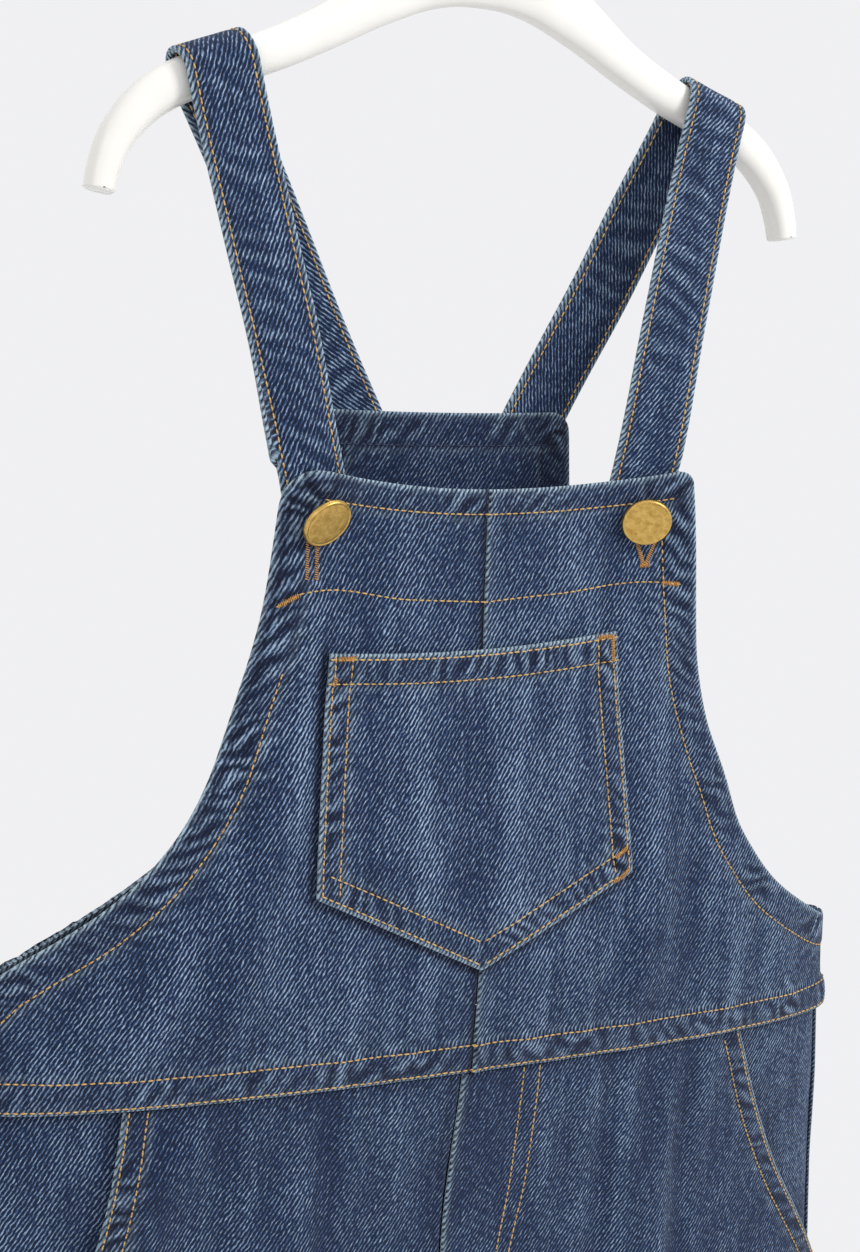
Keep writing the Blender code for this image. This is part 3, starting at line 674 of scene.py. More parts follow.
@dataclass(frozen=True)
class AntiqueBrass:
    """Stamped brass with an antique plating, brushed flat: a warm satin metal with browner blotches."""

    name: str = "antique_brass"
    bright: str = "D8B468"
    aged: str = "B08A42"

    def build(self) -> bpy.types.Material:
        """Builds the material, with brushing lines about 0.2 mm apart and blotches of 1 to 2 mm."""
        finish, tree, shader = new_material(self.name)
        place = add_node(tree, "ShaderNodeTexCoord")
        blotch = add_node(tree, "ShaderNodeTexNoise", {"Scale": 520.0, "Detail": 5.0, "Roughness": 0.6},
                          {"Vector": place.outputs["Object"]})
        brushed = add_node(tree, "ShaderNodeVectorMath", {"operation": "MULTIPLY", 1: (900.0, 900.0, 5200.0)},
                           {0: place.outputs["Object"]})
        lines = add_node(tree, "ShaderNodeTexNoise", {"Scale": 1.0, "Detail": 2.0},
                         {"Vector": brushed.outputs["Vector"]})
        ramp = add_node(tree, "ShaderNodeValToRGB", {}, {0: blotch.outputs["Fac"]})
        ramp.color_ramp.elements[0].position, ramp.color_ramp.elements[0].color = 0.30, linear(self.aged)
        ramp.color_ramp.elements[1].position, ramp.color_ramp.elements[1].color = 0.62, linear(self.bright)
        rough = add_node(tree, "ShaderNodeMath", {"operation": "MULTIPLY_ADD", 1: 0.22, 2: 0.26},
                         {0: lines.outputs["Fac"]})
        bump = add_node(tree, "ShaderNodeBump", {"Strength": 0.15, "Distance": 0.00005},
                        {"Height": lines.outputs["Fac"]})
        tree.links.new(ramp.outputs["Color"], shader.inputs["Base Color"])
        tree.links.new(rough.outputs[0], shader.inputs["Roughness"])
        tree.links.new(bump.outputs["Normal"], shader.inputs["Normal"])
        shader.inputs["Metallic"].default_value = 1.0
        return finish


@dataclass(frozen=True)
class MouldedPlastic:
    """Glossy injection-moulded polystyrene: a creamy white with a clear shine and faint flow ripples."""

    name: str = "moulded_polystyrene"
    colour: str = "E6E5E1"
    shaded: str = "DDDBD3"

    def build(self) -> bpy.types.Material:
        """Builds the material, with flow marks of 8 to 15 mm."""
        finish, tree, shader = new_material(self.name)
        place = add_node(tree, "ShaderNodeTexCoord")
        flow = add_node(tree, "ShaderNodeTexNoise", {"Scale": 70.0, "Detail": 3.0},
                        {"Vector": place.outputs["Object"]})
        tint = add_node(tree, "ShaderNodeMix",
                        {"data_type": "RGBA", 6: linear(self.colour), 7: linear(self.shaded)},
                        {0: flow.outputs["Fac"]})
        bump = add_node(tree, "ShaderNodeBump", {"Strength": 0.06, "Distance": 0.0005},
                        {"Height": flow.outputs["Fac"]})
        rough = add_node(tree, "ShaderNodeMath", {"operation": "MULTIPLY_ADD", 1: 0.12, 2: 0.14},
                         {0: flow.outputs["Fac"]})
        tree.links.new(tint.outputs[2], shader.inputs["Base Color"])
        tree.links.new(rough.outputs[0], shader.inputs["Roughness"])
        tree.links.new(bump.outputs["Normal"], shader.inputs["Normal"])
        shader.inputs["IOR"].default_value = 1.59
        shader.inputs["Subsurface Weight"].default_value = 0.08
        shader.inputs["Subsurface Radius"].default_value = (0.004, 0.004, 0.004)
        return finish


@dataclass(frozen=True)
class ChromedWire:
    """Drawn steel wire with bright chrome plate: mirror-like, with faint dull blotches in the plate."""

    name: str = "chromed_steel_wire"
    colour: str = "C9CBCE"
    dulled: str = "A2A4A8"

    def build(self) -> bpy.types.Material:
        """Builds the material, with blotches of 2 to 4 mm."""
        finish, tree, shader = new_material(self.name)
        place = add_node(tree, "ShaderNodeTexCoord")
        film = add_node(tree, "ShaderNodeTexNoise", {"Scale": 300.0, "Detail": 4.0},
                        {"Vector": place.outputs["Object"]})
        tint = add_node(tree, "ShaderNodeMix",
                        {"data_type": "RGBA", 6: linear(self.dulled), 7: linear(self.colour)},
                        {0: film.outputs["Fac"]})
        rough = add_node(tree, "ShaderNodeMath", {"operation": "MULTIPLY_ADD", 1: 0.15, 2: 0.10},
                         {0: film.outputs["Fac"]})
        tree.links.new(tint.outputs[2], shader.inputs["Base Color"])
        tree.links.new(rough.outputs[0], shader.inputs["Roughness"])
        shader.inputs["Metallic"].default_value = 1.0
        return finish


@dataclass
class Finishes:
    """Every material of the garment and its hanger, built once."""

    denim: bpy.types.Material = field(default_factory=lambda: Denim("stonewashed_denim").build())
    faded: bpy.types.Material = field(
        default_factory=lambda: Denim("stonewashed_denim_pocket", bias=0.0).build())
    trousers: bpy.types.Material = field(
        default_factory=lambda: Denim("stonewashed_denim_trousers", bias=-0.045).build())
    strap: bpy.types.Material = field(
        default_factory=lambda: Denim("stonewashed_denim_strap", bias=-0.01).build())
    # The back bib's denim is set darker than the front's, as painted shade for the shadow it hangs in behind
    # the front bib
    inside: bpy.types.Material = field(
        default_factory=lambda: Denim("stonewashed_denim_facing", bias=-0.05).build())
    golden: bpy.types.Material = field(
        default_factory=lambda: Thread("golden_topstitch_thread", "C9A566", "866737").build())
    orange: bpy.types.Material = field(
        default_factory=lambda: Thread("orange_bartack_thread", "B88542", "754E22").build())
    navy: bpy.types.Material = field(
        default_factory=lambda: Thread("navy_topstitch_thread", "1C2748", "10172E").build())
    brass: bpy.types.Material = field(default_factory=lambda: AntiqueBrass().build())
    plastic: bpy.types.Material = field(default_factory=lambda: MouldedPlastic().build())
    chrome: bpy.types.Material = field(default_factory=lambda: ChromedWire().build())


# Cloth shells


class Shell:
    """One closed shell of cloth on a grid of points of its inner face.

    Rows run down the piece and columns across it. flat holds the same points on the piece's flat
    pattern, in metres, with the drop as a negative height.
    """

    def __init__(self, name: str, base: Array, flat: Array, toward: Array, thickness: float = CLOTH) -> None:
        """Keeps the grid and finds its normals.

        Args:
            name: the piece's name.
            base: points (rows, columns, 3) of the inner face.
            flat: places (rows, columns, 2) on the pattern.
            toward: rough outward directions that settle the sign of the normals.
            thickness: the cloth's thickness.
        """
        self.name, self.base, self.flat = name, base, flat
        across, down = np.gradient(base, axis=1), np.gradient(base, axis=0)
        normals = unit(np.cross(across, down))
        self.normals = np.where((normals * toward).sum(axis=2, keepdims=True) > 0, normals, -normals)
        shape = base.shape[:2]
        self.lift, self.thick = np.zeros(shape), np.full(shape, thickness)
        # wear and fade carry rubbed and washed tone; the third grid darkens the cloth for indigo kept in
        # valleys and for painted shade beside seams, laps, pockets and buttons
        self.wear, self.fade, self.indigo_and_shade = np.zeros(shape), np.full(shape, 0.5), np.zeros(shape)
        self.obj: bpy.types.Object | None = None
        self._tree: BVHTree | None = None

    def fringe(self, which: Fringe) -> Array:
        """The flat line of one border of the grid."""
        picks = {Fringe.TOP: self.flat[0], Fringe.BOTTOM: self.flat[-1],
                 Fringe.START: self.flat[:, 0], Fringe.END: self.flat[:, -1]}
        return picks[which]

    def hem(self, line: Array, depth: float, rope: float = 0.0, pitch: float = 0.0085, slant: float = 0.8,
            wear: float = 0.8, extra: float = 0.0003, seed: float = 1.0, margin: float = 0.0) -> None:
        """Works a turned or faced edge: puckers between it and its stitch row, and rubbing along it.

        Args:
            line: the edge on the flat pattern.
            depth: distance of the stitch row from the edge.
            rope: height of the puckers.
            pitch: distance between puckers.
            slant: how far a pucker leans along the edge for each unit of depth.
            wear: how much the edge is rubbed pale.
            extra: thickness of the turned layers.
            seed: chooses how the puckers vary.
            margin: length at each end of the line over which the puckers die away.
        """
        distance, run = nearest(self.flat, line)
        total = path_lengths(line)[-1]
        inside = ease((depth * 1.15 - distance) / (depth * 0.3))
        uneven = wander(run / 0.013, distance / 0.02, seed)
        strength = np.clip(0.55 + 0.65 * wander(run / 0.021, 0 * run, seed + 3.3), 0.05, 1.3)
        ends = ease(run / max(margin, 1e-4)) * ease((total - run) / max(margin, 1e-4)) if margin else 1.0
        wave = np.sin(2 * math.pi * (run + slant * distance) / pitch + 3.0 * uneven) * strength
        across = np.sin(math.pi * np.clip(distance / depth, 0, 1)) ** 0.6
        beyond = bell(distance - depth * 1.25, depth * 0.35) * 0.35
        ripple = wave * (across * inside + beyond) * ends
        self.thick += extra * inside + rope * (ripple + 0.35 * inside * ends)
        groove = bell(distance - depth, 0.0011)
        self.thick -= 0.00032 * groove
        # The stitch groove and pucker valleys are darkened, partly for indigo kept there and partly as
        # painted shade
        self.indigo_and_shade += 0.30 * groove + 0.34 * np.clip(-ripple, 0, 1) * (rope > 0)
        self.fade += 0.34 * ripple * (rope > 0)
        self.wear += (wear * bell(distance, 0.0011)
                      + 0.12 * wear * bell(distance, 0.003) * (0.6 + 0.4 * uneven))
        self.wear += 0.34 * np.clip(ripple, 0, 1) * (rope > 0)
        self.wear += 0.22 * bell(distance - depth - 0.0017, 0.0009) * (rope > 0) * (0.7 + 0.5 * uneven)
        # The puckered band is darkened, partly for kept indigo and partly as painted shade
        self.indigo_and_shade += 0.20 * inside * across * (rope > 0)

    def crease(self, start: tuple[float, float], end: tuple[float, float], width: float, rise: float,
               fade: float = 0.0, bend: float = 0.0) -> None:
        """Lays one soft ridge (or trough, with a rise below 0) and the paleness along its top.

        Args:
            start: flat place of one end.
            end: flat place of the other.
            width: half width of the ridge.
            rise: its height.
            fade: how much paler its top is.
            bend: how far its middle bows to its left.
        """
        a, b = np.array(start), np.array(end)
        length = np.linalg.norm(b - a)
        way = (b - a) / length
        off = self.flat - a
        run = (off @ way) / length
        side = off @ np.array((-way[1], way[0])) - bend * np.sin(math.pi * np.clip(run, 0, 1))
        shape = (bell(side, width) * ease(run * 5 + 0.5) * ease((1 - run) * 5 + 0.5)
                 * (run > -0.1) * (run < 1.1))
        self.lift += rise * shape
        self.fade += 0.65 * fade * shape

    def slub(self, size: float, rise: float, fade: float, seed: float) -> None:
        """Uneven softness of washed cloth over the whole piece.

        Args:
            size: rough size of its undulations.
            rise: their height.
            fade: how much their colour varies.
            seed: chooses the pattern.
        """
        value = wander(self.flat[..., 0] / size, self.flat[..., 1] / (2.2 * size), seed)
        self.lift += rise * value
        self.fade += fade * value

    def _rounding(self, edges: Sequence[Fringe]) -> Array:
        """Share of the thickness that is left near each cut or folded edge, which gives it a round rim."""
        def runs(axis: int) -> tuple[Array, Array]:
            steps = np.linalg.norm(np.diff(self.base, axis=axis), axis=2)
            zero = np.zeros_like(np.take(steps, [0], axis=axis))
            run = np.concatenate((zero, np.cumsum(steps, axis=axis)), axis=axis)
            return run, np.take(run, [-1], axis=axis) - run

        from_top, from_bottom = runs(0)
        from_start, from_end = runs(1)
        gaps = {Fringe.TOP: from_top, Fringe.BOTTOM: from_bottom, Fringe.START: from_start,
                Fringe.END: from_end}
        share = np.ones(self.base.shape[:2])
        radius = 0.0009
        for edge in edges:
            t = np.clip(gaps[edge] / radius, 0, 1)
            share = np.minimum(share, 0.22 + 0.78 * np.sqrt(1 - (1 - t) ** 2))
        return share

    def layers(self, edges: Sequence[Fringe]) -> tuple[Array, Array]:
        """Inner and outer grids of the finished shell."""
        middle = self.lift + self.thick / 2
        half = self.thick / 2 * self._rounding(edges)
        inner = self.base + self.normals * (middle - half)[..., None]
        outer = self.base + self.normals * (middle + half)[..., None]
        return inner, outer

    def build(self, material: bpy.types.Material,
              edges: Sequence[Fringe] = tuple(Fringe)) -> bpy.types.Object:
        """Makes the closed mesh with its pattern UV and cloth attribute.

        Args:
            material: the denim.
            edges: the borders with a round rim.

        Returns:
            The object.
        """
        inner, outer = self.layers(edges)
        rows, columns = inner.shape[:2]
        index = np.arange(rows * columns).reshape(rows, columns)
        quads = np.stack((index[:-1, :-1], index[:-1, 1:], index[1:, 1:], index[1:, :-1]), axis=2).reshape(-1,
                                                                                                           4)
        count = rows * columns
        rim = np.concatenate((index[0], index[1:, -1], index[-1, -2::-1], index[-2:0:-1, 0]))
        after = np.roll(rim, -1)
        walls = np.stack((rim, after, after + count, rim + count), axis=1)
        faces = np.concatenate((quads[:, ::-1], quads + count, walls[:, ::-1]))
        verts = np.concatenate((inner.reshape(-1, 3), outer.reshape(-1, 3)))
        mesh = bpy.data.meshes.new(self.name)
        mesh.from_pydata(verts.tolist(), [], faces.tolist())
        fix_normals(mesh)
        flat = np.concatenate((self.flat.reshape(-1, 2),) * 2)
        layer = mesh.uv_layers.new(name="pattern")
        loops = np.empty(len(mesh.loops), np.int32)
        mesh.loops.foreach_get("vertex_index", loops)
        spots = flat[loops]
        spots[-4 * len(walls):] += self._rim_shift(rim, after)
        layer.data.foreach_set("uv", spots.astype(np.float32).ravel())
        # The cloth attribute holds wear in red, fade in green, and in blue the darkening for kept indigo and
        # painted shade
        paint = np.stack((self.wear, self.fade, self.indigo_and_shade, np.ones_like(self.wear)), axis=2).reshape(-1, 4)
        paint = np.clip(np.concatenate((paint, paint)), 0, 1)
        cloth = mesh.attributes.new("cloth", "FLOAT_COLOR", "POINT")
        cloth.data.foreach_set("color", paint.astype(np.float32).ravel())
        mesh.materials.append(material)
        mesh.shade_smooth()
        self.obj = add_object(self.name, mesh)
        LOG.info("%s: %d faces", self.name, len(mesh.polygons))
        return self.obj

    def _rim_shift(self, rim: Array, after: Array) -> Array:
        """Moves the inner corners of the rim's faces outwards on the pattern, so the twill goes round it.

        Args:
            rim: border points in order.
            after: the next point of each.

        Returns:
            The shift of each loop of the rim's faces, in the order in which they are made.
        """
        flat = self.flat.reshape(-1, 2)
        way = unit(flat[after] - flat[rim])
        middle = flat.mean(axis=0)
        over = np.stack((-way[:, 1], way[:, 0]), axis=1)
        sign = np.sign((over * (flat[rim] - middle)).sum(axis=1, keepdims=True))
        over = over * sign * self.thick.mean()
        still = np.zeros_like(over)
        return np.stack((still, still, over, over), axis=1).reshape(-1, 2)

    def lay(self, path: Array, inside: bool = False) -> tuple[Array, Array]:
        """Finds where flat places lie on the worked cloth.

        Args:
            path: places (n, 2) on the pattern.
            inside: True for the inner face.

        Returns:
            Points on the face and the face's outward normals there.
        """
        rows, columns = self.base.shape[:2]
        inner, outer = self.layers(())
        grid = (inner if inside else outer).reshape(-1, 3)
        flat = self.flat.reshape(-1, 2)
        index = np.arange(rows * columns).reshape(rows, columns)
        a, b, c, d = index[:-1, :-1], index[:-1, 1:], index[1:, 1:], index[1:, :-1]
        tris = np.concatenate((np.stack((a, b, c), axis=2), np.stack((a, c, d), axis=2))).reshape(-1, 3)
        if self._tree is None:
            flats = [Vector((u, v, 0.0)) for u, v in flat.tolist()]
            self._tree = BVHTree.FromPolygons(flats, tris.tolist())
        points, normals = [], []
        nodal = self.normals.reshape(-1, 3) * (-1 if inside else 1)
        for u, v in path:
            place = Vector((float(u), float(v), 0.0))
            hit, _, k, gap = self._tree.find_nearest(place)
            if hit is None or gap > 0.002:
                continue
            corners = tris[k]
            flat3 = [Vector((*flat[i], 0.0)) for i in corners]
            real = [Vector(grid[i]) for i in corners]
            points.append(np.array(barycentric_transform(hit, *flat3, *real)))
            normals.append(unit(nodal[corners].sum(axis=0)))
        return np.array(points).reshape(-1, 3), np.array(normals).reshape(-1, 3)


def fix_normals(mesh: bpy.types.Mesh) -> None:
    """Turns every face of a closed mesh outwards."""
    shell = bmesh.new()
    shell.from_mesh(mesh)
    bmesh.ops.recalc_face_normals(shell, faces=shell.faces)
    shell.to_mesh(mesh)
    shell.free()


def add_object(name: str, mesh: bpy.types.Mesh) -> bpy.types.Object:
    """An object at the origin that shows a mesh."""
    obj = bpy.data.objects.new(name, mesh)
    bpy.context.scene.collection.objects.link(obj)
    return obj


def arc_flat(base: Array, drops: Array, zero: Array | None = None) -> Array:
    """Lays a grid flat: the length run across each row from its zero column, and the drop as height.

    Args:
        base: points (rows, columns, 3).
        drops: their drops.
        zero: the flat x of each row's first column, or None for 0.

    Returns:
        Places (rows, columns, 2).
    """
    steps = np.linalg.norm(np.diff(base[..., :2], axis=1), axis=2)
    run = np.concatenate((np.zeros((len(base), 1)), np.cumsum(steps, axis=1)), axis=1)
    start = np.zeros(len(base)) if zero is None else zero
    return np.stack((run + start[:, None], -drops), axis=2)


# Stitching


class StitchTree:
    """Geometry nodes that set one stitch on each point, turned by the point's own directions."""

    def __init__(self) -> None:
        """Builds the tree with named inputs for the thread and the stitch."""
        tree = bpy.data.node_groups.new("stitches", "GeometryNodeTree")
        face = tree.interface
        face.new_socket("Geometry", in_out="INPUT", socket_type="NodeSocketGeometry")
        self.sockets = {}
        for name, kind in (("Stitch Length", "NodeSocketFloat"), ("Thread Thickness", "NodeSocketFloat"),
                           ("Seed", "NodeSocketInt"), ("Thread", "NodeSocketMaterial")):
            self.sockets[name] = face.new_socket(name, in_out="INPUT", socket_type=kind).identifier
        face.new_socket("Geometry", in_out="OUTPUT", socket_type="NodeSocketGeometry")
        given = add_node(tree, "NodeGroupInput")
        result = add_node(tree, "NodeGroupOutput")
        way = add_node(tree, "GeometryNodeInputNamedAttribute", {"data_type": "FLOAT_VECTOR", 0: "way"})
        out = add_node(tree, "GeometryNodeInputNamedAttribute", {"data_type": "FLOAT_VECTOR", 0: "out"})
        turn = add_node(tree, "FunctionNodeAlignRotationToVector", {"axis": "X"}, {"Vector": way.outputs[0]})
        stand = add_node(tree, "FunctionNodeAlignRotationToVector", {"axis": "Z", "pivot_axis": "X"},
                         {"Rotation": turn.outputs[0], "Vector": out.outputs[0]})
        bead = add_node(tree, "GeometryNodeMeshUVSphere", {"Segments": 6, "Rings": 5, "Radius": 0.5})
        uneven = add_node(tree, "FunctionNodeRandomValue", {"data_type": "FLOAT", 2: 0.88, 3: 1.1},
                          {"Seed": given.outputs["Seed"]})
        length = add_node(tree, "ShaderNodeMath", {"operation": "MULTIPLY"},
                          {0: given.outputs["Stitch Length"], 1: uneven.outputs[1]})
        size = add_node(tree, "ShaderNodeCombineXYZ", {}, {
            0: length.outputs[0], 1: given.outputs["Thread Thickness"], 2: given.outputs["Thread Thickness"]})
        sewn = add_node(tree, "GeometryNodeInstanceOnPoints", {}, {
            "Points": given.outputs["Geometry"], "Instance": bead.outputs["Mesh"],
            "Rotation": stand.outputs[0], "Scale": size.outputs[0]})
        real = add_node(tree, "GeometryNodeRealizeInstances", {}, {0: sewn.outputs[0]})
        smooth = add_node(tree, "GeometryNodeSetShadeSmooth", {}, {0: real.outputs[0]})
        painted = add_node(tree, "GeometryNodeSetMaterial", {}, {
            "Geometry": smooth.outputs[0], "Material": given.outputs["Thread"]})
        tree.links.new(painted.outputs[0], result.inputs[0])
        self.tree = tree

    def sew(self, name: str, points: Array, ways: Array, outs: Array, length: float, thickness: float,
            thread: bpy.types.Material, seed: int = 3) -> bpy.types.Object:
        """Sews stitches and returns them as one plain mesh.

        Args:
            name: the piece's name.
            points: middle of each stitch.
            ways: direction of each stitch.
            outs: direction out of the cloth at each.
            length: length of a stitch.
            thickness: thickness of the thread.
            thread: its material.
            seed: of the stitches' uneven lengths.

        Returns:
            The object.
        """
        mesh = bpy.data.meshes.new(name)
        mesh.from_pydata(points.tolist(), [], [])
        for key, values in (("way", ways), ("out", outs)):
            attribute = mesh.attributes.new(key, "FLOAT_VECTOR", "POINT")
            attribute.data.foreach_set("vector", values.astype(np.float32).ravel())
        carrier = add_object(name + "_points", mesh)
        modifier = carrier.modifiers.new("stitches", "NODES")
        modifier.node_group = self.tree
        for key, value in (("Stitch Length", length), ("Thread Thickness", thickness), ("Seed", seed),
                           ("Thread", thread)):
            modifier[self.sockets[key]] = value
        graph = bpy.context.evaluated_depsgraph_get()
        made = bpy.data.meshes.new_from_object(carrier.evaluated_get(graph), depsgraph=graph)
        carrier.modifiers.remove(modifier)
        bpy.data.objects.remove(carrier)
        made.name = name
        for key in ("way", "out"):
            if key in made.attributes:
                made.attributes.remove(made.attributes[key])
        LOG.info("%s: %d stitches", name, len(points))
        return add_object(name, made)


@dataclass
class Seams:
    """Collects the stitches of one sub-assembly and one thread, and sews them as one piece."""

    name: str
    thread: bpy.types.Material
    length: float = 0.0024
    thickness: float = 0.00066
    points: list = field(default_factory=list)
    ways: list = field(default_factory=list)
    outs: list = field(default_factory=list)

    def row(self, shell: Shell, path: Array, pitch: float = 0.0027, inside: bool = False) -> None:
        """A straight-stitch row along a flat path.

        Args:
            shell: the cloth it is sewn on.
            path: the row on the pattern.
            pitch: distance between stitches.
            inside: True for the cloth's inner face.
        """
        if len(path) < 2:
            return
        points, normals = shell.lay(even(path, pitch), inside)
        if len(points) < 3:
            return
        self.points.append(points + normals * 0.00008)
        self.ways.append(unit(np.gradient(points, axis=0)))
        self.outs.append(normals)

    def bar(self, shell: Shell, start: tuple[float, float], end: tuple[float, float],
            width: float = 0.0021) -> None:
        """A bartack or one side of a buttonhole: close stitches across a short line.

        Args:
            shell: the cloth it is sewn on.
            start: flat place of one end.
            end: flat place of the other.
            width: length of the stitches across it.
        """
        line = np.array((start, end))
        way = unit(line[1] - line[0])
        over = np.array((-way[1], way[0]))
        path = even(line, 0.00062)
        points, normals = shell.lay(path)
        beside, _ = shell.lay(path + over * 0.0008)
        count = min(len(points), len(beside))
        if count < 2:
            return
        points, normals, beside = points[:count], normals[:count], beside[:count]
        share = width / self.length
        for shift in ((-0.25, 0.25) if share > 0.9 else (0.0,)):
            across = unit(beside - points)
            self.points.append(points + normals * 0.00020 + across * shift * width)
            self.ways.append(across + 0.18 * np.gradient(points, axis=0) / 0.0006)
            self.outs.append(normals)

    def sew(self, tree: StitchTree) -> bpy.types.Object | None:
        """Sews what was collected, rides it on the body and returns it."""
        if not self.points:
            return None
        ways = unit(np.concatenate(self.ways))
        obj = tree.sew(self.name, np.concatenate(self.points), ways, np.concatenate(self.outs),
                       self.length, self.thickness, self.thread)
        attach(obj, BODY)
        return obj


def dress(shell: Shell, node: str, sewn: Sequence[Seams],
          tree: StitchTree) -> None:
    """Rides a cloth piece, hides its solid and sews its stitches.

    Args:
        shell: the built cloth.
        node: the solid that it stands for.
        sewn: its stitching.
        tree: the stitch nodes.
    """
    obj = shell.obj
    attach(obj, BODY)
    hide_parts(node)
    with_pieces = [made for made in (part.sew(tree) for part in sewn) if made]


# The cloth pieces


@dataclass
class BibGrid:
    """Rows and columns shared by the bibs: ring angles and drops from a bib's middle to its edge."""

    facing: Facing
    top: float
    table: Table

    def rows(self, corner: float) -> tuple[Array, Array]:
        """Pairs of drops, in the middle and at the edge.

        Args:
            corner: radius of the top corner.

        Returns:
            Drops in the middle and drops at the edge.
        """
        turn = [self.top + corner * (1 - math.cos(math.radians(a))) for a in (0, 30, 60, 90)]
        edges = turn + list(np.linspace(turn[-1], 0.142, 9)[1:]) + [0.152, 0.160, 0.1665, 0.1705, UNDERARM]
        last = len(edges) - 1
        middles = np.linspace(self.top, UNDERARM, last + 1)
        index = [0.0, 0.03, 0.08]
        for k in range(last):
            parts = max(2, math.ceil(max(edges[k + 1] - edges[k], middles[k + 1] - middles[k]) / FINE))
            index += [k + (j + 1) / parts for j in range(parts)]
        index = np.array(sorted(i for i in index if i <= 0.08 or i > 0.12))
        edge = np.interp(index, range(last + 1), edges)
        curved = index < 3
        edge[curved] = self.top + corner * (1 - np.cos(np.radians(30 * index[curved])))
        low = spread(UNDERARM, WAIST, FINE, (0.0003, 0.0009))[1:]
        return (np.concatenate((np.interp(index, range(last + 1), middles), low)),
                np.concatenate((edge, low)))

    def edge_angle(self, side: int, drop: Array, corner: float) -> Array:
        """Ring angle at the bib's edge.

        Args:
            side: sign of the side.
            drop: drops at the edge.
            corner: radius of the top corner.

        Returns:
            The angle at each drop.
        """
        left = np.maximum(0.0, corner - (drop - self.top))
        rounded = corner - np.sqrt(np.maximum(0.0, corner**2 - left**2))
        reach = (by_side(self.table, np.array(side), drop) - rounded) / along(RINGS, drop, HALF)
        seam = math.pi / 2 - seam_angle(self.facing, drop)
        return np.where(drop >= UNDERARM - 1e-6, seam, np.arcsin(np.clip(reach, 0, 1)))


def band(thickness: float, shell: Shell, drop: Array) -> None:
    """Thickens the lapped waist seam, with a soft shoulder at its upper side."""
    shell.thick += thickness * ease((drop - (WAIST - BAND - 0.0010)) / 0.0016)


